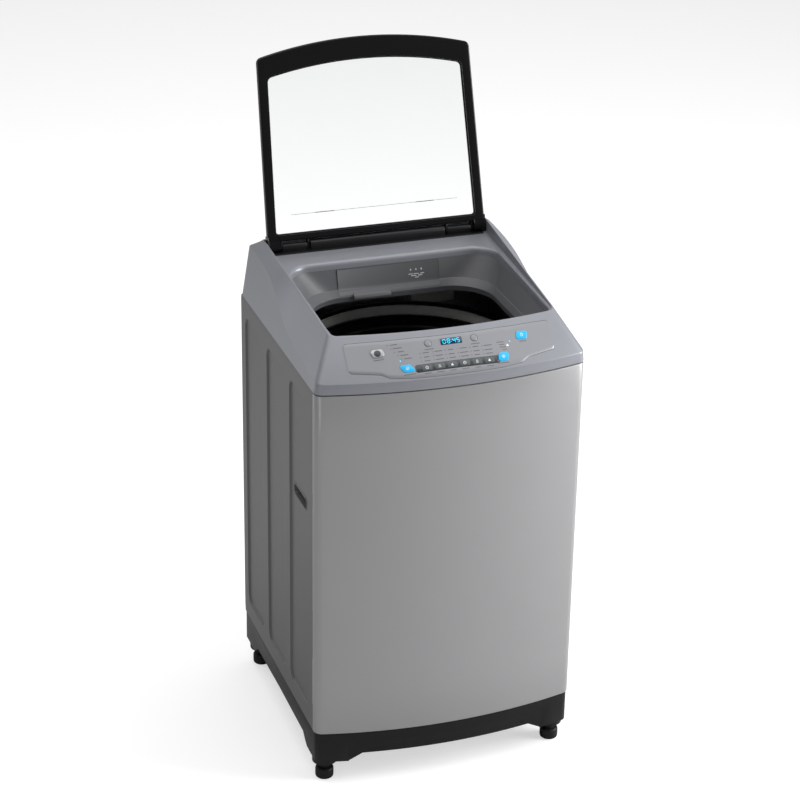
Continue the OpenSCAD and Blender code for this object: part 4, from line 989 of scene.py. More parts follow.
@dataclass
class SteelCabinet:
    """Front sheet, side sheets with their pressed fields, hand grips and the rear."""

    body: Body
    seam: float = 18.0
    fields: int = 3
    field_w: float = 140.0
    field_pitch: float = 175.0
    field_mid: float = 10.0
    field_low: float = 170.0
    field_high: float = 910.0
    field_depth: float = 4.0
    field_r: float = 27.0
    ramp: float = 4.5
    grip_w: float = 92.0
    grip_h: float = 27.0
    grip_y: float = -165.0
    grip_z: float = 658.0
    grip_depth: float = 23.0

    def front(self) -> None:
        """Builds the bowed front sheet with its rounded upright corners and turned-in flanges."""
        b = self.body
        corner = b.front_corner(b.corner)
        seam_y = b.front_y + self.seam
        right = corner + [(b.half_w, max(seam_y, corner[-1][1] + 0.5)), (b.half_w - 12, seam_y + 0.5)]
        xs = corner[0][0]
        row = [(-x, y) for x, y in reversed(right)]
        row += [(lerp(-xs, xs, k / 48), b.bow_at(lerp(-xs, xs, k / 48))) for k in range(1, 48)]
        row += right
        levels = [(12.0, b.panel_z + 0.6), (2.0, b.panel_z + 0.1), (0.6, b.panel_z + 0.6),
                  (0.0, b.panel_z + 2.2)]
        levels += [(0.0, lerp(b.panel_z, b.panel_top, k / 8)) for k in range(1, 8)]
        levels += [(0.0, b.panel_top - 4.2), (0.6, b.panel_top - 2.6), (2.0, b.panel_top - 2.1),
                   (12.0, b.panel_top - 2.6)]
        m = Maker("front_sheet")
        rings = []
        for d, z in levels:
            rings.append([(x * (1 - d / b.half_w), y + d * (1 if abs(x) < b.half_w - 0.5 else 0.2), z) for x,
                          y in row])
        m.loft(rings, closed=False)
        obj = m.done(Palette.SILVER, recalc=True)
        self._outwards(obj, Vector((0, -1, 0)))
        settle(obj, "cabinet", "silver_panel", "front_panel")

    @staticmethod
    def _outwards(obj: bpy.types.Object, way: Vector) -> None:
        """Flips an open sheet whose larger faces look away from the given way."""
        total = sum((p.normal * p.area for p in obj.data.polygons), Vector())
        if total.dot(way) < 0:
            obj.data.flip_normals()

    def _sink(self, y: float, z: float) -> float:
        """Depth of the pressing at a place of the side wall, 0 on the wall itself."""
        mid_z, half_z = (self.field_low + self.field_high) / 2, (self.field_high - self.field_low) / 2
        deepest = 0.0
        for i in range(self.fields):
            cy = self.field_mid + (i - (self.fields - 1) / 2) * self.field_pitch
            qy = abs(y - cy) - (self.field_w / 2 - self.field_r)
            qz = abs(z - mid_z) - (half_z - self.field_r)
            d = math.hypot(max(qy, 0), max(qz, 0)) + min(max(qy, qz), 0) - self.field_r
            deepest = max(deepest, smooth_step(-d / self.ramp))
        return deepest

    def _lines(self, stops: Sequence[float], reach: float, fine: float, coarse: float, low: float,
               high: float) -> list[float]:
        """Grid lines that are close together near each stop and wider between.

        Args:
            stops: places that need fine lines after them or before them.
            reach: how far the fine lines run either side of a stop.
            fine: the spacing near a stop.
            coarse: the spacing elsewhere.
            low: the first line.
            high: the last line.

        Returns:
            The lines in rising order.
        """
        out, at = [low], low
        while at < high - 1e-6:
            near = min(abs(at - s) for s in stops)
            at = min(high,
                     at + (fine if near < reach else min(coarse, max(fine, (near - reach) * 0.6 + fine))))
            out.append(at)
        if len(out) > 2 and out[-1] - out[-2] < 0.3 * fine:
            out.pop(-2)
        return out

    def side(self, sign: int) -> None:
        """Builds one side sheet with three pressed fields and the hole for its hand grip.

        Args:
            sign: -1 for the left wall and 1 for the right one.
        """
        b = self.body
        y0, y1 = b.front_y + self.seam + 0.6, b.rear_y
        edges = []
        for i in range(self.fields):
            cy = self.field_mid + (i - (self.fields - 1) / 2) * self.field_pitch
            edges += [cy - self.field_w / 2 + 6, cy + self.field_w / 2 - 6]
        ys = self._lines(edges + [self.grip_y - self.grip_w / 2 + 6, self.grip_y + self.grip_w / 2 - 6], 13,
                         1.5, 12, y0, y1)
        zs = self._lines([self.field_low + 7, self.field_high - 7, self.grip_z], 18, 1.5, 22, b.panel_z,
                         b.panel_top)
        gy, gz = self.grip_w / 2 + 1.2, self.grip_h / 2 + 1.2
        gr = gz - 1.5

        def hole(y: float, z: float) -> float:
            """Signed distance from the hand grip's mouth, negative inside it."""
            qy, qz = abs(y - self.grip_y) - (gy - gr), abs(z - self.grip_z) - (gz - gr)
            return math.hypot(max(qy, 0), max(qz, 0)) + min(max(qy, qz), 0) - gr

        m = Maker("side_sheet_left" if sign < 0 else "side_sheet_right")
        grid = []
        for z in zs:
            line = []
            for y in ys:
                x = b.half_w - self.field_depth * self._sink(y, z)
                roll = min(z - b.panel_z, b.panel_top - z)
                x -= 0.8 * (1 - smooth_step(roll / 2.0))
                line.append((sign * x, y, z))
            grid.append(m.add(line))
        for i in range(len(zs) - 1):
            for j in range(len(ys) - 1):
                cy, cz = (ys[j] + ys[j + 1]) / 2, (zs[i] + zs[i + 1]) / 2
                if hole(cy, cz) > 0:
                    m.faces.append((grid[i][j], grid[i][j + 1], grid[i + 1][j + 1], grid[i + 1][j]))
        for row, z in ((grid[0], b.panel_z), (grid[-1], b.panel_top)):
            turned = m.add([(sign * (b.half_w - 14), y, z) for y in ys])
            m.strip(row, turned, closed=False)
        rear = [g[-1] for g in grid]
        m.strip(rear, m.add([(sign * (b.half_w - 14), y1, z) for z in zs]), closed=False)
        # Painted shade: the side sheet takes the darkened copy of the silver steel.
        obj = m.done(Palette.SIDE, smooth_deg=40)
        self._outwards(obj, Vector((sign, 0, 0)))
        name = "left_side_panel" if sign < 0 else "right_side_panel"
        settle(obj, "cabinet", "side_paint", name)

    def grip(self, sign: int) -> None:
        """Builds the moulded finger cup with its thin bezel, in one side wall."""
        b = self.body
        face = b.half_w - self.field_depth

        def place(u: float, v: float, w: float) -> Point:
            """Puts a point of the cup's frame in the wall, w outwards."""
            return (sign * (face + w), self.grip_y + u, self.grip_z + v)

        w, h = self.grip_w, self.grip_h
        steps = 6
        outer = bar_outline(w + 7, h + 7, h / 2 + 1.5, steps)
        rim = bar_outline(w + 1, h + 1, h / 2 - 2, steps)
        mouth = bar_outline(w - 3, h - 3, h / 2 - 3.5, steps)
        deep = bar_outline(w - 10, h - 7, h / 2 - 5, steps)
        m = Maker("grip_cup_left" if sign < 0 else "grip_cup_right")
        rings = [[place(x, y, 0.1) for x, y in outer], [place(x, y, 1.0) for x, y in inset(outer, 0.8)],
                 [place(x, y, 1.2) for x, y in rim], [place(x, y, 0.4) for x, y in mouth],
                 [place(x, y, -3.0) for x, y in inset(mouth, 0.6)],
                 [place(x, y + 1.5, -self.grip_depth + 5) for x, y in deep],
                 [place(x * 0.94, y * 0.8 + 1.5, -self.grip_depth + 1) for x, y in deep],
                 [place(x * 0.85, y * 0.55 + 1.5, -self.grip_depth) for x, y in deep]]
        rows = m.loft(rings)
        m.cap(rows[-1])
        # Painted shade: the finger cup takes the side sheets' darkened steel.
        obj = m.done(Palette.SIDE, smooth_deg=50)
        self._outwards(obj, Vector((sign, 0, 0)))
        settle(obj, "cabinet", "side_paint", "hand_grip_left" if sign < 0 else "hand_grip_right")

    def build(self) -> None:
        """Builds the sheets and the grips."""
        self.front()
        for sign in (-1, 1):
            self.side(sign)
            self.grip(sign)


# ---------------------------------------------------------------- top cover


@dataclass
class TopCover:
    """The moulded cover: band, sloping console, side facets, lid recess, and the throat down to the drum."""

    body: Body
    console: Console
    shelf: Shelf
    front_steps: int = 72
    corner_steps: int = 10
    side_steps: int = 56
    rear_steps: int = 24
    rim_half_front: float = 251.0
    rim_half_rear: float = 262.5
    recess_half_front: float = 247.0
    recess_half_rear: float = 258.5
    rim_rear_y: float = 256.0
    recess_rear_y: float = 246.0
    mouth_half: float = 242.0
    mouth_rear: float = 137.0
    mouth_corner: float = 57.0
    mouth_front_corner: float = 16.0
    wall_half: float = 219.0
    wall_rear: float = 123.0
    wall_corner: float = 84.0
    wall_z: float = 1000.0
    hole_half: float = 209.0
    hole_rear: float = 112.0
    hole_corner: float = 92.0
    throat_z: float = 987.0
    crease: tuple[tuple[float, float, float], ...] = (
        (-262, 297.5, 974), (-220, 297.0, 977), (-162, 296.0, 982), (-120, 295.0, 987), (-78, 294.0, 993),
        (-44, 292.8, 1001), (-8, 291.0, 1015), (30, 289.0, 1032), (68, 287.4, 1047), (105, 286.0, 1059),
        (160, 285.0, 1068), (240, 284.0, 1073))
    window: tuple[float, float, float, float] = (-121.5, 97.5, 1001.2, 1042.2)

    def rim_z(self, y: float) -> float:
        """Height of the rim at a workshop y, rising towards the rear and rolling over there."""
        z = 1048.0 + (y + 249.5) * math.tan(math.radians(5.5))
        return z - 9.0 * smooth_step((y - 215) / 45)

    def _ring(self, front: Callable[[float], Point], side: Callable[[float], Point],
              rear: Callable[[float], Point],
              front_x: float, side_y: Flat, rear_x: float) -> list[Point]:
        """Makes one closed ring of the cover with the same count of points as every other ring.

        Args:
            front: point of the front edge at x.
            side: point of the right side edge at y.
            rear: point of the rear edge at x.
            front_x: half width of the straight part of the front.
            side_y: first and last y of the straight part of the side.
            rear_x: half width of the straight part of the rear.

        Returns:
            Points anticlockwise from above, from the middle of the rounded left front corner.
        """
        nf, nc, ns, nr = self.front_steps, self.corner_steps, self.side_steps, self.rear_steps
        f = [front(lerp(-front_x, front_x, k / nf)) for k in range(nf + 1)]
        s = [side(lerp(side_y[0], side_y[1], k / ns)) for k in range(ns + 1)]
        r = [rear(lerp(rear_x, -rear_x, k / nr)) for k in range(nr + 1)]

        def bend(a: Point, a2: Point, b: Point, b2: Point) -> list[Point]:
            """Curve from a to b that leaves along a2-a and comes in along b-b2."""
            va, vb = Vector(a), Vector(b)
            ta, tb = (va - Vector(a2)).normalized(), (Vector(b2) - vb).normalized()
            gap = (vb - va).length
            c1, c2 = va + ta * gap * 0.39, vb - tb * gap * 0.39
            out = []
            for k in range(1, nc):
                t = k / nc
                u = 1 - t
                out.append(tuple(va * u**3 + c1 * 3 * t * u**2 + c2 * 3 * t * t * u + vb * t**3))
            return out

        right = bend(f[-1], f[-2], s[0], s[1])
        back = bend(s[-1], s[-2], r[0], r[1])
        mirror = lambda pts: [(-x, y, z) for x, y, z in reversed(pts)]
        return f + right + s + back + r + mirror(back) + mirror(s) + mirror(right)

    def crease_at(self, y: float) -> Flat:
        """Half width and height of the side crease at y."""
        return (along([(r[0], r[1]) for r in self.crease], y), along([(r[0], r[2]) for r in self.crease], y))

    def rings(self) -> list[list[Point]]:
        """Key rings of the cover, from the panels' top edge to the mouth."""
        b, c, sh = self.body, self.console, self.shelf
        fc = b.front_corner(b.corner)
        fx, fy = fc[0][0], fc[-1][1]
        foot = self._ring(lambda x: (x, b.bow_at(x), b.panel_top), lambda y: (b.half_w, y, b.panel_top),
                          lambda x: (x, b.rear_y, b.panel_top), fx, (fy, b.rear_y - 12), b.half_w - 12)
        band = self._ring(lambda x: (x, b.bow_at(x), b.band_top),
                          lambda y: (self.crease_at(y)[0], y, self.crease_at(y)[1]),
                          lambda x: (x, 281.0, 1050.0 - 8 * (abs(x) / 270) ** 2), fx - 1, (fy + 2, 262.0),
                          264.0)

        def rim_front(x: float) -> Point:
            """Point of the rim's front edge, on the console's surface."""
            y = -249.5 + b.bow_r - math.sqrt(b.bow_r**2 - x * x)
            low, high = 60.0, 160.0
            for _ in range(30):
                mid = (low + high) / 2
                if c.at(x, mid)[1] < y:
                    low = mid
                else:
                    high = mid
            return c.at(x, low)

        def rim_half(y: float) -> float:
            """Half width of the rim at y."""
            return lerp(self.rim_half_front, self.rim_half_rear, (y + 225) / 470)

        rim = self._ring(rim_front, lambda y: (rim_half(y), y, self.rim_z(y)),
                         lambda x: (x, self.rim_rear_y, self.rim_z(self.rim_rear_y)), 236.0, (-208.0, 238.0),
                         246.0)
        lip = self._ring(lambda x: (x, rim_front(x)[1] + 3.2, rim_front(x)[2] + 0.4),
                         lambda y: (rim_half(y) - 3.2, y, self.rim_z(y) + 0.2),
                         lambda x: (x, self.recess_rear_y + 2, self.rim_z(self.recess_rear_y) + 0.2), 236.0,
                         (-206.0, 234.0), 246.0)

        def recess_half(y: float) -> float:
            """Half width of the lid recess at y."""
            return lerp(self.recess_half_front, self.recess_half_rear, (y + 230) / 476)

        floor = self._ring(lambda x: (x, rim_front(x)[1] + 4.2,
                                      min(rim_front(x)[2] - 0.5, sh.height(rim_front(x)[1]) + 0.5)),
                           lambda y: (recess_half(y), y, sh.height(y)),
                           lambda x: (x, self.recess_rear_y, sh.height(self.recess_rear_y)), 236.0,
                           (-206.0, 240.0), 250.0)
        mouth = self.mouth_ring(0.0, None)
        return [foot, band, rim, lip, floor, mouth]

    def mouth_ring(self, d: float, z: float | None) -> list[Point]:
        """Outline of the mouth drawn in by d, at a height or on the shelf."""
        b, sh = self.body, self.shelf
        w, rear, r, rf = self.mouth_half - d, self.mouth_rear - d, self.mouth_corner - d, self.mouth_front_corner - d

        def height(y: float) -> float:
            """Height of the ring at y."""
            return sh.height(y) if z is None else z

        def front(x: float) -> Point:
            """Point of the mouth's bowed front edge."""
            y = -245.5 + d + b.bow_r - math.sqrt(b.bow_r**2 - x * x)
            return (x, y, height(y))

        side_front = front(w)[1] + rf
        return self._ring(front, lambda y: (w, y, height(y)), lambda x: (x, rear, height(rear)), w - rf,
                          (side_front, rear - r), w - r)

    def shell(self) -> None:
        """Builds the cover from the panels' top over the rim and the recess to the mouth's rounded edge."""
        foot, band, rim, lip, floor, mouth = self.rings()
        under = [(p[0] * 0.985, p[1] * 0.985, p[2]) for p in foot]
        inner = self.mouth_ring(1.5, None)
        drop = [(x, y, self.shelf.height(y) - 16) for x, y, _ in inner]
        columns = []
        nf = self.front_steps
        for i in range(len(foot)):
            at_front = i <= nf
            path = [under[i], foot[i], band[i], rim[i], lip[i], floor[i], mouth[i], drop[i]]
            radii = [0, 1.4, 4.0 if at_front else 6.0, 2.6, 1.2, 2.0, 9.0 if not at_front else 1.2, 0]
            columns.append(fillet(path, radii, 5))
        rings = [[col[k] for col in columns] for k in range(len(columns[0]))]
        m = Maker("cover_shell")
        m.loft(rings)
        obj = m.done(Palette.COVER, smooth_deg=60)
        SteelCabinet._outwards(obj, Vector((0, -0.3, 1)))
        settle(obj, "cabinet", "cover_plastic", "top_cover")

    def throat_ring(self, half: float, rear: float, corner: float, front: float, z: float) -> list[Point]:
        """Closed ring of the throat with the cover's count of points.

        Args:
            half: half width.
            rear: y of the rear edge.
            corner: radius of the rear corners.
            front: how far behind the mouth's front edge it starts.
            z: height.

        Returns:
            The ring's points.
        """
        b = self.body

        def front_edge(x: float) -> Point:
            """Point of the bowed front edge at x."""
            return (x, -245.5 + front + b.bow_r - math.sqrt(b.bow_r**2 - x * x), z)

        return self._ring(front_edge, lambda y: (half, y, z), lambda x: (x, rear, z), half - 40,
                          (front_edge(half - 40)[1] + 60, rear - corner), half - corner)

    def liner(self) -> None:
        """Builds the throat: a leaning wall, a step, and a darker strip that closes in over the drum."""
        top = [(x, y, self.shelf.height(y) - 15) for x, y, _ in self.mouth_ring(0.9, None)]
        rings = [top,
                 self.throat_ring(self.wall_half, self.wall_rear, self.wall_corner, 5.0, self.wall_z + 1.5),
                 self.throat_ring(self.wall_half - 1.6, self.wall_rear - 1.6, self.wall_corner - 1.0, 6.0,
                                  self.wall_z),
                 self.throat_ring(self.hole_half, self.hole_rear, self.hole_corner, 9.0, self.throat_z),
                 self.throat_ring(self.hole_half + 1.0, self.hole_rear + 1.0, self.hole_corner, 9.0,
                                  self.throat_z - 12)]
        columns = [fillet([r[i] for r in rings], [0, 1.0, 0.6, 1.6, 0], 4) for i in range(len(top))]
        m = Maker("throat_liner")
        m.loft([[c[k] for c in columns] for k in range(len(columns[0]))])
        obj = m.done(Palette.LINER, smooth_deg=50)
        SteelCabinet._outwards(obj, Vector((0, 0, 1)))
        self.open_window(obj)
        settle(obj, "cabinet", "cover_plastic", "throat_ring")

    def open_window(self, obj: bpy.types.Object) -> None:
        """Cuts the drawer's way through the liner's rear wall.

        Args:
            obj: the liner, which is cut in place.
        """
        x0, x1, z0, z1 = (v * MM for v in self.window)
        bm = bmesh.new()
        bm.from_mesh(obj.data)
        for co, no in (((x0, 0, 0), (1, 0, 0)), ((x1, 0, 0), (1, 0, 0)), ((0, 0, z0), (0, 0, 1)),
                       ((0, 0, z1), (0, 0, 1))):
            rear = [f for f in bm.faces if f.calc_center_median().y > 0.09]
            geom = rear + list({e for f in rear for e in f.edges}) + list({v for f in rear for v in f.verts})
            bmesh.ops.bisect_plane(bm, geom=geom, plane_co=co, plane_no=no)
        gone = [f for f in bm.faces if x0 < f.calc_center_median().x < x1 and z0 < f.calc_center_median().z < z1
                and f.calc_center_median().y > 0.09]
        bmesh.ops.delete(bm, geom=gone, context="FACES")
        bm.to_mesh(obj.data)
        bm.free()

    def build(self) -> None:
        """Builds the cover and its throat."""
        self.shell()
        self.liner()


# ---------------------------------------------------------------- console


class KeyShape(Enum):
    """Outlines of the console's keys."""

    LEAN_LEFT = "lean_left"
    LEAN_RIGHT = "lean_right"
    OVAL = "oval"
    ROUND = "round"
    BAR = "bar"

    def outline(self, w: float, h: float) -> list[Flat]:
        """Outline of a key of this shape."""
        x, y = w / 2, h / 2
        if self is KeyShape.LEAN_LEFT:
            return flat_fillet([(-x + 12, -y), (x, -y), (x - 12, y), (-x, y)], [3, 4, 3, 4], 5)
        if self is KeyShape.LEAN_RIGHT:
            return flat_fillet([(-x, -y), (x - 6, -y), (x, y), (-x + 6, y)], [5, 3, 5, 3], 5)
        if self is KeyShape.OVAL:
            return flat_fillet([(-x + 6, -y), (x, -y), (x - 4, y), (-x, y)], [7, 8, 7, 6], 6)
        if self is KeyShape.ROUND:
            return circle_outline(x, 32)
        return bar_outline(w, h, 3.0, 5)


@dataclass
class Key:
    """One key of the console: its body, place, size, shape and finish."""

    name: str
    x: float
    s: float
    w: float
    h: float
    proud: float
    shape: KeyShape
    finish: Palette
    slot: str


@dataclass
class ControlConsole:
    """The printed fascia with its keys, display, lamps and generic legends."""

    console: Console
    film_out: float = 0.5
    outline_x: tuple[tuple[float, float, float], ...] = (
        (-228, 39.5, 105.0), (-164, 26.0, 100.0), (-146, 15.0, 98.5), (-100, 8.0, 96.5), (-50, 5.5, 94.3),
        (0, 4.8, 93.5),
        (50, 5.5, 94.3), (100, 8.0, 96.5), (146, 15.0, 98.5), (164, 26.0, 100.0), (228, 39.5, 105.0))
    keys: tuple[Key, ...] = (
        Key("power_button", 158, 75.5, 31, 18, 2.0, KeyShape.LEAN_RIGHT, Palette.CYAN, "cyan_key"),
        Key("start_button", 106, 31, 29, 19, 2.0, KeyShape.LEAN_RIGHT, Palette.CYAN, "cyan_key"),
        Key("hold_button", -106, 31, 37, 17, 2.0, KeyShape.LEAN_LEFT, Palette.CYAN, "cyan_key"),
        Key("program_button", -161, 72.5, 32, 18, 2.5, KeyShape.OVAL, Palette.METAL, "metal_key"),
        Key("level_button", -51, 79.5, 14, 14, 1.4, KeyShape.ROUND, Palette.FILM, "metal_key"),
        Key("timer_button", 51, 79.5, 14, 14, 1.4, KeyShape.ROUND, Palette.FILM, "metal_key"),
    )

    def edge(self, x: float) -> Flat:
        """Lower and upper edge of the fascia at x."""
        rows = self.outline_x
        for a, b in zip(rows, rows[1:]):
            if x <= b[0]:
                t = (x - a[0]) / (b[0] - a[0])
                return (lerp(a[1], b[1], t), lerp(a[2], b[2], t))
        return (rows[-1][1], rows[-1][2])

    def film(self) -> None:
        """Builds the printed film on the console as a thin plate that follows its bow."""
        m = Maker("fascia_film")
        cols = 152
        rows_n = 10
        top, under = [], []
        for i in range(cols + 1):
            x = lerp(-227.5, 227.5, i / cols)
            lo, hi = self.edge(x)
            lo, hi = lo + 0.4, hi - 0.4
            end = 1.0 - smooth_step((227.5 - abs(x)) / 6.0)
            lo, hi = lo + 5 * end**2, hi - 5 * end**2
            line = [self.console.at(x, lo, -1.0), self.console.at(x, lo, self.film_out - 0.25)]
            line += [self.console.at(x, lerp(lo + 0.5, hi - 0.5, k / rows_n),
                                     self.film_out) for k in range(rows_n + 1)]
            line += [self.console.at(x, hi, self.film_out - 0.25), self.console.at(x, hi, -1.0)]
            top.append(line)
        rows = [m.add(line) for line in top]
        for a, b in zip(rows, rows[1:]):
            m.strip(a, b, closed=False)
        m.cap(rows[0])
        m.cap(rows[-1], flip=True)
        obj = m.done(Palette.FILM, smooth_deg=40)
        SteelCabinet._outwards(obj, Vector((0, -0.7, 0.7)))
        settle(obj, "cabinet", "fascia_film", "control_fascia")

    def key(self, k: Key) -> None:
        """Builds one key with a softly crowned cap."""
        m = Maker(k.name + "_cap")
        loop = k.shape.outline(k.w, k.h)
        m.prism(loop, self.console.on(k.x, k.s), -6.0, k.proud, edge=1.0, steps=4)
        obj = m.done(k.finish, smooth_deg=50)
        settle(obj, k.name, k.slot, k.name)

    def ring(self, m: Maker, x: float, s: float, r: float, wide: float, low: float, n: int = 24) -> None:
        """Adds a printed ring to m at x, s on a surface that stands out by low."""
        m.frame(circle_outline(r, n), circle_outline(r - wide, n), self.console.on(x, s), low, low + 0.12,
                0.04, 0.04, 1)

    def bar(self, m: Maker, x: float, s: float, w: float, h: float, low: float) -> None:
        """Adds a printed dash to m at x, s on a surface that stands out by low."""
        m.prism(bar_outline(w, h, min(w, h) * 0.35, 2), self.console.on(x, s), low, low + 0.12)

    def groove(self) -> None:
        """Builds the fine shadow line that runs round the film."""
        m = Maker("fascia_groove")
        for side, shift in ((0, -0.5), (1, 0.5)):
            rows = []
            for i in range(153):
                x = lerp(-227.0, 227.0, i / 152)
                end = 1.0 - smooth_step((227.5 - abs(x)) / 6.0)
                s0 = self.edge(x)[side] + (5 * end**2 if side == 0 else -5 * end**2) + shift * 0.4
                rows.append([self.console.at(x, s0 - 0.55, 0.06), self.console.at(x, s0 + 0.55, 0.06)])
            m.loft(rows, closed=False)
        obj = m.done(Palette.STRIP, smooth_deg=60)
        SteelCabinet._outwards(obj, Vector((0, -0.7, 0.7)))
        settle(obj, "cabinet", "fascia_film")

    def key_bed(self) -> None:
        """Builds the darker rounded bed that the six small keys stand in."""
        m = Maker("key_bed")
        xs = [lerp(-89.5, 96.5, i / 48) for i in range(49)]
        rows = []
        for x in xs:
            end = min(x + 89.5, 96.5 - x)
            lift = 3.0 * (1.0 - min(1.0, end / 3.0)) ** 2
            rows.append([self.console.at(x, 18.2 + lift, 0.45), self.console.at(x, 18.4 + lift, 0.75),
                         self.console.at(x, 35.6 - lift, 0.75), self.console.at(x, 35.8 - lift, 0.45)])
        m.loft(rows, closed=False)
        obj = m.done(Palette.BED, smooth_deg=60)
        SteelCabinet._outwards(obj, Vector((0, -0.7, 0.7)))
        settle(obj, "cabinet", "dark_key")

    def display(self) -> None:
        """Builds the dark window and its generic lit digits."""
        m = Maker("display_pane")
        m.prism(bar_outline(47.4, 14.6, 2.0, 5), self.console.on(0, 79), 0.2, 0.95, 0.3, 3)
        settle(m.done(Palette.SCREEN, smooth_deg=40), "cabinet", "display_glass", "display_window")
        d = Maker("display_digits")
        low, h, w = 0.96, 4.6, 4.4
        lit = {"0": "abcdef", "4": "bcfg", "5": "acdfg", "8": "abcdefg"}
        for x, digit in ((-15.5, "0"), (-6.0, "8"), (6.5, "4"), (15.5, "5")):
            bars = {"a": (0, h, w, 1.3), "g": (0, 0, w, 1.3), "d": (0, -h, w, 1.3),
                    "f": (-w / 2 - 0.5, h / 2, 1.3, h - 0.8),
                    "b": (w / 2 + 0.5, h / 2, 1.3, h - 0.8), "e": (-w / 2 - 0.5, -h / 2, 1.3, h - 0.8),
                    "c": (w / 2 + 0.5, -h / 2, 1.3, h - 0.8)}
            for name in lit[digit]:
                bx, bs, bw, bh = bars[name]
                self.bar(d, x + bx, 79 + bs, bw, bh, low)
        for s0 in (77.2, 80.8):
            self.bar(d, 0.3, s0, 1.3, 1.3, low)
        settle(d.done(Palette.DIGIT), "cabinet", "display_glass")

    def legends(self) -> None:
        """Prints generic dashes, dots and rings where the panel explains its keys."""
        dark, light = Maker("legend_dark"), Maker("legend_light")
        low = self.film_out - 0.02
        for i in range(5):
            x, s0 = lerp(-127, -104, i / 4), lerp(87, 53, i / 4)
            self.bar(dark, x + 4, s0, (15, 19, 13, 17, 16)[i], 1.9, low)
            self.ring(dark, x - 9.5, s0, 1.5, 0.6, low, 12)
        for j, s0 in enumerate((60.0, 50.5, 42.0)):
            for i in range(6):
                x = lerp(-62, 75, i / 5)
                self.bar(dark, x + 2, s0, (14, 17, 12, 16, 13, 18)[(i + 2 * j) % 6], 1.9, low)
                self.ring(dark, x - 10.5, s0, 1.5, 0.6, low, 12)
        for i in range(4):
            self.bar(dark, 106 + 5.5 * i * 0.4, lerp(64, 47, i / 3), (16, 12, 15, 11)[i], 1.7, low)
        for x, s0, w in ((-103, 17.4, 26), (103, 17.4, 26), (158, 61.5, 16), (-161, 58.5, 22),
                         (-51, 66.5, 20), (51, 66.5, 20)):
            self.bar(dark, x, s0, w, 1.7, low)
        for i in range(6):
            self.bar(dark, (i - 2.5) * 27.5 + 4, 14.6, (15, 18, 14, 17, 13, 16)[i], 1.5, low)
        self.ring(dark, -51, 79.5, 8.4, 1.0, low, 40)
        self.ring(dark, 51, 79.5, 8.4, 1.0, low, 40)
        for i in range(7):
            self.bar(light, lerp(-205, -164, i / 6), lerp(39.5, 29, i / 6), 6.2, 2.4, low - 0.4)
        m = light
        m.prism([(x, y) for x, y in flat_fillet([(-4, -2.5), (4, -2.5), (0, 3.5)], [1, 1, 1], 3)],
                self.console.on(121, 56), low, low + 0.12)
        settle(dark.done(Palette.PRINT_DARK), "cabinet", "fascia_film")
        settle(light.done(Palette.PRINT_LIGHT), "cabinet", "fascia_film")
        lamp = Maker("lamp_dots")
        for x, s0 in ((-117, 49.5), (128.0, 64.0)):
            lamp.prism(circle_outline(1.4, 14), self.console.on(x, s0), low, low + 0.3, 0.1, 2)
        settle(lamp.done(Palette.DIGIT), "cabinet", "fascia_film")

    def icons(self) -> None:
        """Prints a simple light sign on every key."""
        for i in range(6):
            m = Maker(f"key_sign_{i + 1}")
            x, s0, low = (i - 2.5) * 27.5 + 4, 27.0, 1.48
            if i % 3 == 0:
                self.ring(m, x, s0, 3.4, 0.9, low, 18)
                self.bar(m, x, s0 + 1.5, 0.9, 4.0, low)
            elif i % 3 == 1:
                for k in range(3):
                    self.bar(m, x, s0 - 2.4 + 2.4 * k, 6.4 - 1.4 * k, 0.9, low)
            else:
                m.prism(flat_fillet([(-3.2, -2.6), (3.2, -2.6), (0, 3.2)], [0.6] * 3, 3),
                        self.console.on(x, s0), low, low + 0.12)
            settle(m.done(Palette.PRINT_LIGHT), f"key_{i + 1}", "dark_key")
        for name, x, s0 in (("power_button", 158, 75.5), ("start_button", 106, 31),
                            ("hold_button", -106, 31)):
            m = Maker(name + "_sign")
            self.ring(m, x, s0, 3.3, 0.9, 1.98, 20)
            self.bar(m, x, s0 + (3.0 if name == "power_button" else 0.0), 1.0, 3.0, 1.98)
            settle(m.done(Palette.PRINT_LIGHT), name, "cyan_key")
        leaf = Maker("program_button_inlay")
        leaf.prism(circle_outline(7.2, 32), self.console.on(-161, 72.5), 2.45, 2.75, 0.2, 2)
        settle(leaf.done(Palette.BED, smooth_deg=50), "program_button", "dark_key")

    def build(self) -> None:
        """Builds the fascia, every key and what is printed on them."""
        self.film()
        self.groove()
        self.key_bed()
        self.display()
        for k in self.keys:
            self.key(k)
        for i in range(6):
            self.key(Key(f"key_{i + 1}", (i - 2.5) * 27.5 + 4, 27, 22, 12, 1.5, KeyShape.BAR, Palette.STRIP,
                         "dark_key"))
        self.legends()
        self.icons()


# ---------------------------------------------------------------- lid


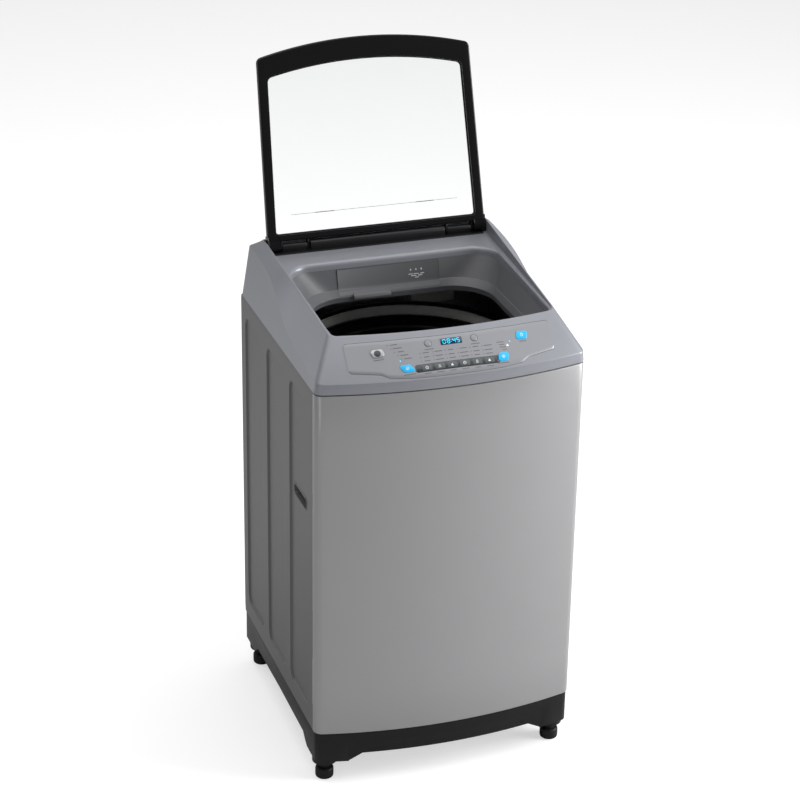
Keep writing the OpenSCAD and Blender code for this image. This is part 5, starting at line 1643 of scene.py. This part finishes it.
@dataclass
class GlassLid:
    """The framed glass lid on its two hinges."""

    plane: LidPlane
    start: float = 13.0
    half_rear: float = 256.5
    half_front: float = 245.0
    side_len: float = 416.0
    bow: float = 32.0
    under: float = -10.5
    over: float = 7.5
    rail: float = 20.0
    front_rail: float = 48.0
    window: float = 27.0
    corner: float = 24.0
    hinge_x: float = 194.0
    knuckle_w: float = 56.0
    knuckle_r: float = 8.0
    barrel_r: float = 11.2

    def outline(self, side: float, near: float, far_in: float, r: Sequence[float],
                steps: int = 8) -> list[Flat]:
        """Outline of the lid in (x, -u), drawn in by different amounts at its sides and ends.

        Args:
            side: inset of the two sides.
            near: first u of the outline.
            far_in: inset of the bowed front edge.
            r: radii of the near and the far corners.
            steps: points along each corner.

        Returns:
            An outline with a fixed count of points.
        """
        tip = self.side_len + self.bow - far_in
        arc_r = (self.half_front**2 + self.bow**2) / (2 * self.bow)

        def half(u: float) -> float:
            """Half width at u."""
            return lerp(self.half_rear, self.half_front, (u + 40) / (self.side_len + self.bow + 40)) - side

        def edge(x: float) -> float:
            """u of the bowed front edge at x."""
            return tip - arc_r + math.sqrt(arc_r**2 - x * x)

        wf = half(self.side_len)
        pts = [(-half(near), near), (half(near), near), (wf, edge(wf))]
        radii = [r[0], r[0], r[1]]
        n = 24
        for k in range(1, n):
            x = lerp(wf, -wf, k / n)
            pts.append((x, edge(x)))
            radii.append(0.0)
        pts.append((-wf, edge(wf)))
        radii.append(r[1])
        return [(x, -u) for x, u in reversed(flat_fillet(pts, radii, steps))]

    def place(self, x: float, y: float, z: float) -> Point:
        """Puts a point of the lid's drawing in the workshop."""
        return self.plane.at(x, -y, z)

    def across(self, x0: float) -> Placing:
        """Frame of a profile drawn in (u, v) and pushed along x from x0."""
        return lambda u, v, w: self.plane.at(x0 + w, u, v)

    def frame(self) -> None:
        """Builds the gloss black frame with its soft rims, corner lobes and hinge ears."""
        outer = self.outline(0, self.start, 0, (3, self.corner))
        inner = self.outline(self.rail, self.window, self.front_rail, (8, 16))
        m = Maker("lid_rail_frame")
        m.frame(outer, inner, self.place, self.under, self.over, 3.5, 1.5, steps=4)
        r = self.barrel_r - 0.7
        lobe = [(24.0, self.under + 0.4), (0.0, self.under + 0.2)]
        lobe += [(-r * math.sin(a), -r * math.cos(a) * (1.0 if math.cos(a) > 0 else self.over / r))
                 for a in (math.pi * k / 12 for k in range(1, 12))]
        lobe += [(0.0, self.over - 0.2), (24.0, self.over - 0.4)]
        inside = self.hinge_x + self.knuckle_w / 2 + 6.5
        for side in (-1, 1):
            mid = side * (inside + self.half_rear - 0.8) / 2
            w = (self.half_rear - 0.8 - inside) / 2
            m.prism(lobe, self.across(mid), -w, w, 2.5, 3, 2.5)
            for end in (-1, 1):
                x0 = side * self.hinge_x + end * (self.knuckle_w / 2 + 3.0)
                ear = flat_fillet([(-7, -7), (15, -7), (15, 6.5), (-7, 6.5)], [5, 1, 1, 5], 6)
                m.prism(ear, self.across(x0), -2.4, 2.4, 0.5, 2, 0.5)
        obj = m.done(Palette.GLOSS, smooth_deg=40)
        settle(obj, "lid", "lid_black", "lid_frame")

    def seal(self) -> None:
        """Builds the soft black lip that holds the glass all round the window."""
        outer = self.outline(self.rail - 0.4, self.window - 0.4, self.front_rail - 0.4, (8, 16))
        inner = self.outline(self.rail + 2.2, self.window + 2.2, self.front_rail + 2.2, (6, 14))
        m = Maker("glass_seal_lip")
        m.frame(outer, inner, self.place, -1.2, -0.1, 0.3, 0.5, steps=2)
        settle(m.done(Palette.RUBBER), "lid", "rubber")

    def mark(self) -> None:
        """Prints the thin guide line with two dark dashes near the glass's lower edge."""
        m = Maker("glass_guide_print")
        level = self.window + 42.0
        for x, w, h in ((0.0, 392.0, 0.7), (-118.0, 44.0, 1.6), (118.0, 44.0, 1.6)):
            m.prism(bar_outline(w, h, h * 0.4, 2), lambda a, b, c,
                    x=x: self.plane.at(x + a, level - b, c - 0.35),
                    -0.1, 0.1)
        settle(m.done(Palette.PRINT_DARK), "lid", "lid_black")

    def barrel(self) -> None:
        """Builds the fixed hinge bar: a round-backed barrel, two knuckles and the foot plate."""
        m = Maker("hinge_barrel_bar")
        r = self.barrel_r
        reach = self.hinge_x - self.knuckle_w / 2 - 8.0
        sh = self.plane.shelf

        def along_x(x0: float) -> Placing:
            """Frame of a profile in the shelf's (y, z) pushed along x."""
            return lambda y, z, w: sh.at(x0 + w, self.plane.hinge_y + y, self.plane.hinge_z + z)

        round_bar = [(r * math.cos(a),
                      r * math.sin(a)) for a in (math.radians(-20 + 220 * k / 18) for k in range(19))]
        round_bar += [(-r, -11.2), (r, -11.2)]
        m.prism(round_bar, along_x(0.0), -reach, reach, 1.2, 3, 1.2)
        k = self.knuckle_r
        knuckle = [(k * math.cos(a),
                    k * math.sin(a)) for a in (math.radians(-10 + 200 * i / 16) for i in range(17))]
        knuckle += [(-k + 1, -11.2), (k - 1, -11.2)]
        for side in (-1, 1):
            m.prism(knuckle, along_x(side * self.hinge_x), -self.knuckle_w / 2, self.knuckle_w / 2, 0.8, 3,
                    0.8)
        plate = flat_fillet([(-250, 3), (250, 3), (250, 40), (-250, 40)], [5] * 4, 4)
        m.prism(plate, lambda x, y, z: sh.at(x, y, z), 0.1, 2.0, 0.8, 3)
        settle(m.done(Palette.BARREL, smooth_deg=40), "cabinet", "lid_black", "hinge_cover")

    def build(self) -> None:
        """Builds the lid's pieces and the hinge bar."""
        self.frame()
        self.seal()
        self.mark()
        self.barrel()


# ---------------------------------------------------------------- drawer


@dataclass
class DetergentDrawer:
    """The drawer in the throat's rear wall, with its leaning front and finger rail."""

    left: float = -122.0
    right: float = 114.0
    low: float = 990.5
    high: float = 1043.5
    tray_left: float = -120.0
    tray_right: float = 96.0
    tray_low: float = 1002.5
    tray_high: float = 1041.0
    rail: Flat = (-90.0, -4.0)

    @staticmethod
    def wall_y(z: float) -> float:
        """Place of the throat's rear wall and of the ledge under it at a height."""
        if z < 1000.0:
            return lerp(112.0, 123.0, (z - 987.0) / 13.0)
        return lerp(123.0, 136.6, (z - 1000.0) / 52.0)

    def slab(self, out: float, sunk: float, low: float, high: float) -> list[Flat]:
        """Profile in (y, z) of a thin slab that follows the wall between two heights."""
        zs = [low, 996.0, 1000.0, 1006.0, high]
        return [(self.wall_y(z) - out, z) for z in zs] + [(self.wall_y(z) - sunk, z) for z in reversed(zs)]

    def front(self) -> None:
        """Builds the front plate that bends with the wall, and the finger rail along its foot."""
        m = Maker("drawer_front_plate")
        cx, half = (self.left + self.right) / 2, (self.right - self.left) / 2
        m.prism(self.slab(1.3, 0.1, self.low, self.high), lambda y, z, w: (cx + w, y, z), -half, half, 0.3, 2,
                0.3)
        rail = flat_fillet([(116.0, 992.8), (107.5, 990.0), (104.6, 984.5), (105.2, 979.6), (107.0, 979.7),
                            (107.6, 984.6),
                            (111.0, 987.2)], [0, 2.5, 2.5, 0.8, 0.8, 1.5, 0], 4)
        cx, half = (self.rail[0] + self.rail[1]) / 2, (self.rail[1] - self.rail[0]) / 2
        m.prism(rail, lambda y, z, w: (cx + w, y, z), -half, half, 0.8, 3, 0.8)
        settle(m.done(Palette.LINER, smooth_deg=40), "drawer", "drawer_plastic")

    def tray(self) -> None:
        """Builds the two-part tray behind the front plate."""
        m = Maker("drawer_tray")
        y0, y1 = 139.0, 247.0
        split = lerp(self.tray_left, self.tray_right, 0.62)
        outer = flat_fillet([(self.tray_left, y0), (self.tray_right, y0), (self.tray_right, y1),
                             (self.tray_left, y1)],
                            [4] * 4, 4)
        m.prism(outer, as_is, self.tray_low, self.tray_low + 2, 0.5, 2, 0.5)
        for x0, x1 in ((self.tray_left, split), (split, self.tray_right)):
            out = flat_fillet([(x0, y0), (x1, y0), (x1, y1), (x0, y1)], [5] * 4, 4)
            m.frame(out, inset(out, 1.9), as_is, self.tray_low + 1.9, self.tray_high - 1, 0.6, 0.6, 2)
        neck = [(self.tray_left + 4, 125.5), (self.tray_right - 4, 125.5), (self.tray_right - 4, 141.0),
                (self.tray_left + 4, 141.0)]
        m.prism(neck, as_is, self.tray_low + 0.6, self.tray_low + 1.8)
        settle(m.done(Palette.WHITE, smooth_deg=40), "drawer", "drawer_plastic", "detergent_drawer")

    def seams(self) -> None:
        """Builds the dark shut lines round the drawer front and its generic dosing marks."""
        m = Maker("drawer_shut_line")
        zs = [self.low - 2.5, 994.0, 1000.0, 1020.0, self.high + 0.6]
        for x in (self.left - 0.5, self.right + 0.5):
            m.loft([[(x - 0.6, self.wall_y(z) - 0.3, z), (x + 0.6, self.wall_y(z) - 0.3, z)] for z in zs],
                   closed=False)
        top = self.high + 0.5
        m.loft([[(self.left - 1, self.wall_y(z) - 0.3, z), (self.right + 1, self.wall_y(z) - 0.3, z)]
                for z in (top - 0.5, top + 0.5)], closed=False)
        obj = m.done(Palette.BED, smooth_deg=60)
        SteelCabinet._outwards(obj, Vector((0, -1, 0)))
        settle(obj, "cabinet", "cover_plastic")
        d = Maker("dosing_marks")

        def on_front(x: float, z: float) -> Placing:
            """Frame of a print on the front plate at x, z."""
            return lambda a, b, c: (x + a, self.wall_y(z + b) - 1.35 - c, z + b)

        for x in (48.5, 61.0, 73.5):
            d.prism(flat_fillet([(-1.6, 0.0), (0.0, -2.2), (1.6, 0.0), (0.0, 3.2)], [0.5, 1.4, 0.5, 0.2], 4),
                    on_front(x, 1027.5), 0, 0.12)
        for x, z, w in ((48.0, 1018.5, 10.0), (61.0, 1018.5, 12.0), (75.0, 1018.5, 9.0), (55.0, 1014.6, 13.0),
                        (70.0, 1014.6, 10.0), (62.0, 1010.7, 9.0)):
            d.prism(bar_outline(w, 1.2, 0.5, 2), on_front(x, z), 0, 0.12)
        settle(d.done(Palette.PRINT_LIGHT), "drawer", "drawer_plastic")

    def build(self) -> None:
        """Builds the drawer's pieces."""
        self.front()
        self.tray()
        self.seams()


# ---------------------------------------------------------------- wash unit


@dataclass
class WashUnit:
    """What shows through the mouth and from below: balance ring, rim, drum wall and pulsator."""

    cy: float = -12.0
    ring_out: float = 246.4
    ring_in: float = 198.0
    ring_top: float = 878.0
    ring_low: float = 816.0
    drum_r: float = 244.6
    drum_low: float = 352.0
    pulsator_r: float = 165.0
    pulsator_z: float = 362.0
    rim_in: float = 249.5
    rim_out: float = 267.0
    rim_z: float = 905.0

    def ring(self) -> None:
        """Turns the balance ring with its crowned top, its groove and its inner slope."""
        profile = [(self.ring_out, self.ring_top - 8), (self.ring_out, self.ring_top - 1),
                   (244.5, self.ring_top + 2.2),
                   (241.0, self.ring_top + 3.6), (234.0, self.ring_top + 4.0), (228.0, self.ring_top + 3.2),
                   (224.0, self.ring_top + 1.2), (222.0, self.ring_top - 2.2), (219.5, self.ring_top - 3.4),
                   (217.0, self.ring_top - 2.2), (214.0, self.ring_top - 1.2), (208.0, self.ring_top - 2.6),
                   (202.0, self.ring_top - 6.4), (199.2, self.ring_top - 11.0),
                   (self.ring_in, self.ring_top - 18.0),
                   (self.ring_in, self.ring_low + 6), (201.0, self.ring_low + 1), (208.0, self.ring_low),
                   (self.drum_r, self.ring_low), (self.drum_r, self.ring_top - 8)]
        m = Maker("balance_ring_turned")
        m.lathe(profile, 0, self.cy, 160, closed=True)
        settle(m.done(Palette.RING, smooth_deg=55), "drum", "ring_black", "balance_ring")

    def rim(self) -> None:
        """Turns the tub's rim with a rounded inner lip and a skirt outside."""
        z = self.rim_z
        profile = [(self.rim_in + 1.5, z - 4.6), (self.rim_in, z - 3), (self.rim_in, z - 1.5),
                   (self.rim_in + 1.5, z),
                   (self.rim_out - 2, z), (self.rim_out, z - 2), (self.rim_out, z - 17),
                   (self.rim_out - 4.6, z - 17),
                   (self.rim_out - 4.6, z - 5)]
        m = Maker("tub_rim_turned")
        m.lathe(profile, 0, self.cy, 128, closed=True)
        settle(m.done(Palette.RING, smooth_deg=50), "wash_unit", "ring_black", "tub_rim")

    def perforations(self) -> None:
        """Presses a staggered pattern of small rimmed holes into the drum's inner wall."""
        m = Maker("drum_perforations")
        r = self.drum_r - 0.6
        rim, hole = circle_outline(3.4, 10), circle_outline(2.1, 10)
        z0 = self.drum_low + 60
        m.loft([[(r - 0.1, y, z0 + z) for y, z in circle_outline(4.4, 10)],
                [(r - 0.7, y, z0 + z) for y, z in rim],
                [(r - 0.3, y, z0 + z) for y, z in hole]])
        m.cap(list(range(20, 30)), flip=False)
        m.verts = [(x, y - MID_Y * MM, z) for x, y, z in m.verts]
        # Painted shade: the holes take the drum's darkened steel, standing for the shade inside the tub.
        obj = m.done(Palette.DRUM_PAINTED_SHADE, smooth_deg=50, recalc=False)
        if sum(p.normal.x * p.area for p in obj.data.polygons) > 0:
            obj.data.flip_normals()
        Pattern.use(obj, Pattern.round_grid(),
                    {"Count": 44, "Rows": 13, "Pitch": 0.029, "Turn": math.tau / 88,
                                                "Seed": 7, "Finish": Palette.DRUM_PAINTED_SHADE.material()})
        for point in obj.data.vertices:
            point.co.y += (self.cy + MID_Y) * MM
        settle(obj, "drum", "drum_steel")

    def pulsator(self) -> None:
        """Turns the pulsator's dished plate and sweeps six curved vanes round its hub."""
        z, r = self.pulsator_z, self.pulsator_r
        profile = [(r - 3, z), (r - 0.6, z + 0.5), (r, z + 3), (r - 1.5, z + 7), (r - 8, z + 8.6),
                   (r * 0.7, z + 6.6),
                   (70, z + 8.0), (52, z + 15), (40, z + 25), (30, z + 29.5), (15, z + 30), (14, z + 24),
                   (9.5, z + 24),
                   (9.5, z)]
        m = Maker("pulsator_plate")
        m.lathe(profile, 0, self.cy, 128, closed=True)
        settle(m.done(Palette.CHARCOAL, smooth_deg=50), "agitator", "ring_black", "pulsator")
        v = Maker("pulsator_vanes")
        n = 12
        rings = []
        for k in range(n + 1):
            t = k / n
            rad, a = lerp(36, 152, t), 0.42 * t * t
            h, w = 16 * math.sin(math.pi * (0.12 + 0.8 * t)) + 3, 9 * (1 - 0.35 * t)
            ca, sa = math.cos(a), math.sin(a)
            pts = []
            for du, dz in ((-w, 0), (-w * 0.72, h * 0.75), (-w * 0.3, h), (w * 0.3, h), (w * 0.72, h * 0.75),
                           (w, 0)):
                pts.append((rad * ca - du * sa, rad * sa + du * ca - MID_Y, z + 5.5 + dz))
            rings.append(pts)
        rows = v.loft(rings)
        v.cap(rows[0], flip=True)
        v.cap(rows[-1])
        obj = v.done(Palette.CHARCOAL, smooth_deg=50)
        Pattern.use(obj, Pattern.round_grid(), {"Count": 6, "Rows": 1, "Pitch": 0.0, "Turn": 0.0, "Seed": 1,
                                                "Finish": Palette.CHARCOAL.material()})
        for point in obj.data.vertices:
            point.co.y += (self.cy + MID_Y) * MM
        settle(obj, "agitator", "ring_black")

    def build(self) -> None:
        """Builds the visible parts of the wash unit."""
        self.ring()
        self.rim()
        self.perforations()
        self.pulsator()


# ---------------------------------------------------------------- rear and feet


@dataclass
class RearFittings:
    """Screws and louvres of the galvanised rear."""

    screw_x: float = 292.0
    screw_z: tuple[float, ...] = (170.0, 430.0, 690.0, 909.0)
    access_x: float = 159.0
    access_z: tuple[float, ...] = (204.0, 476.0)
    rear_y: float = 286.5

    def screws(self) -> None:
        """Sets a pan-head screw at every hole of the rear."""
        m = Maker("rear_screw_heads")
        for sign in (-1, 1):
            m.add([(sign * self.screw_x, self.rear_y, z) for z in self.screw_z])
            m.add([(sign * self.access_x, self.rear_y, z) for z in self.access_z])
        mesh = bpy.data.meshes.new(m.name)
        mesh.from_pydata(m.verts, [], [])
        obj = bpy.data.objects.new(m.name, mesh)
        bpy.context.scene.collection.objects.link(obj)
        Pattern.use(obj, Pattern.places(), {"Radius": 0.0042, "Rise": 0.0021, "Sides": 20, "Seed": 3,
                                            "Finish": Palette.STEEL.material()})
        settle(obj, "cabinet", "steel", "panel_screws")

    def louvres(self) -> None:
        """Presses a stack of hooded air slots into the access cover."""
        m = Maker("rear_louvre_hoods")
        rings = []
        for k in range(9):
            a = math.pi * k / 8
            rings.append([(x,
                           self.rear_y + max(0.0, 2.1 * math.sin(a)) * (0.25 if abs(x) > 96 else 1.0) + 0.05,
                           262.0 - 8.0 * math.cos(a)) for x in (-100, -98, -95, -60, 0, 60, 95, 98, 100)])
        m.loft(rings, closed=False)
        obj = m.done(Palette.ZINC, smooth_deg=60)
        SteelCabinet._outwards(obj, Vector((0, 1, 0)))
        Pattern.use(obj, Pattern.stack(), {"Count": 5, "Step": (0.0, 0.0, 0.042), "Seed": 5,
                                           "Finish": Palette.ZINC.material()})
        settle(obj, "cabinet", "zinc_sheet")

    def build(self) -> None:
        """Builds the rear's fittings."""
        self.screws()
        self.louvres()


@dataclass
class LevellingFoot:
    """One screw foot with a rubber pad."""

    name: str
    x: float
    y: float
    pad_r: float = 20.5
    pad_h: float = 26.0

    def build(self) -> None:
        """Turns the pad, the lock nut and the screw."""
        r, h = self.pad_r, self.pad_h
        m = Maker(self.name + "_turned")
        m.lathe([(0.01, 0), (r - 4, 0), (r - 2.2, 0.6), (r - 0.8, 2), (r - 0.2, 4), (r, 7), (r, h - 6),
                 (r - 0.7, h - 3),
                 (r - 2.4, h - 0.9), (r - 5, h), (13, h + 0.3), (12, h + 1), (12, 41.2), (5, 41.6), (5, 87),
                 (4, 88),
                 (0.01, 88)], self.x, self.y, 48)
        settle(m.done(Palette.RUBBER, smooth_deg=50), self.name, "rubber", self.name)


# ---------------------------------------------------------------- carried-over nodes


class CarriedNodes:
    """Dresses the machine's remaining nodes in their finishes."""

    FINISHES: dict[Palette, tuple[str, ...]] = {
        Palette.ZINC: ("suspension_springs", "drive_pulley", "motor_pulley", "rear_panel",
                       "rear_access_cover"),
        Palette.RUBBER: ("shaft_seal",),
        Palette.SCREEN: ("display_window",),
        Palette.BOARD: ("control_board",),
        Palette.WHITE: ("outer_tub",),
        Palette.STEEL: ("suspension_rods", "lid_hinge_pins", "shaft_bearings", "pulsator_shaft"),
        Palette.BELT: ("drive_belt",),
        Palette.DRUM_PAINTED_SHADE: ("basket",),
        Palette.MESH: ("lint_filters",),
    }
    SOFTENED: tuple[tuple[str, str, str, Palette, float], ...] = (
        ("base_frame", "cabinet", "black_plastic", Palette.BASE, 1.6),
        ("cord_gland", "cabinet", "black_plastic", Palette.BASE, 0.6),
        ("drain_outlet", "cabinet", "black_plastic", Palette.BASE, 0.8),
        ("inlet_valve", "cabinet", "light_plastic", Palette.WHITE, 0.8),
        ("lid_lock", "cabinet", "light_plastic", Palette.WHITE, 0.8),
        ("dispenser_housing", "cabinet", "light_plastic", Palette.WHITE, 0.5),
        ("drain_valve", "wash_unit", "light_plastic", Palette.WHITE, 0.8),
        ("drive_bracket", "wash_unit", "zinc_sheet", Palette.ZINC, 0.8),
        ("motor", "wash_unit", "motor_paint", Palette.MOTOR, 1.5),
        ("gearbox", "wash_unit", "alloy", Palette.ALLOY, 1.5),
        ("basket_hub", "drum", "alloy", Palette.ALLOY, 1.0),
        ("pulsator_screw", "agitator", "steel", Palette.STEEL, 0.6),
    )

    def soften(self, node: bpy.types.Object, body: str, slot: str, finish: Palette, width: float) -> None:
        """Rounds the edges of a copy of a node, which then stands for it.

        Args:
            node: the frame's node.
            body: the body that it rides on.
            slot: its material slot; not used.
            finish: its finish.
            width: width of the rounded edges in millimetres.
        """
        mesh = node.data.copy()
        bm = bmesh.new()
        bm.from_mesh(mesh)
        bmesh.ops.remove_doubles(bm, verts=bm.verts, dist=1e-5)
        bmesh.ops.dissolve_limit(bm, angle_limit=math.radians(1.0), verts=bm.verts, edges=bm.edges)
        bm.to_mesh(mesh)
        bm.free()
        obj = bpy.data.objects.new(node.name + "_soft", mesh)
        bpy.context.scene.collection.objects.link(obj)
        mesh.materials.clear()
        mesh.materials.append(finish.material())
        bevel = obj.modifiers.new("soft_edge", "BEVEL")
        bevel.width, bevel.segments, bevel.limit_method = width * MM, 2, "ANGLE"
        bevel.angle_limit = math.radians(40)
        apply_modifiers(obj)
        obj.data.shade_smooth()
        obj.data.set_sharp_from_angle(angle=math.radians(32))
        settle(obj, body, slot, node.name)

    def dress(self, nodes: dict[str, bpy.types.Object]) -> None:
        """Gives each node that still shows its finish.

        Args:
            nodes: the frame's nodes by name.
        """
        for finish, names in self.FINISHES.items():
            for name in names:
                self._put(nodes[name], finish.material())
        for name, body, slot, finish, width in self.SOFTENED:
            self.soften(nodes[name], body, slot, finish, width)
        self._put(nodes["lid_glass"], ClearGlass().material())

    @staticmethod
    def _put(obj: bpy.types.Object, mat: bpy.types.Material) -> None:
        """Puts one material in every slot of a node."""
        if not obj.material_slots:
            obj.data.materials.append(mat)
        for s in obj.material_slots:
            s.material = mat


def main() -> None:
    """Builds the machine piece by piece."""
    logging.basicConfig(level=logging.INFO, format="%(name)s %(message)s")
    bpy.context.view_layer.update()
    body = Body()
    console, shelf = Console(body), Shelf()
    Studio().build()
    SteelCabinet(body).build()
    TopCover(body, console, shelf).build()
    ControlConsole(console).build()
    GlassLid(LidPlane(shelf)).build()
    DetergentDrawer().build()
    WashUnit().build()
    RearFittings().build()
    for name, sx, sy in (("foot_front_left", -1, -1), ("foot_front_right", 1, -1), ("foot_rear_left", -1, 1),
                         ("foot_rear_right", 1, 1)):
        LevellingFoot(name, sx * 269.0, sy * 255.5).build()
    CarriedNodes().dress(frame["nodes"])


if __name__ == "__main__":
    main()
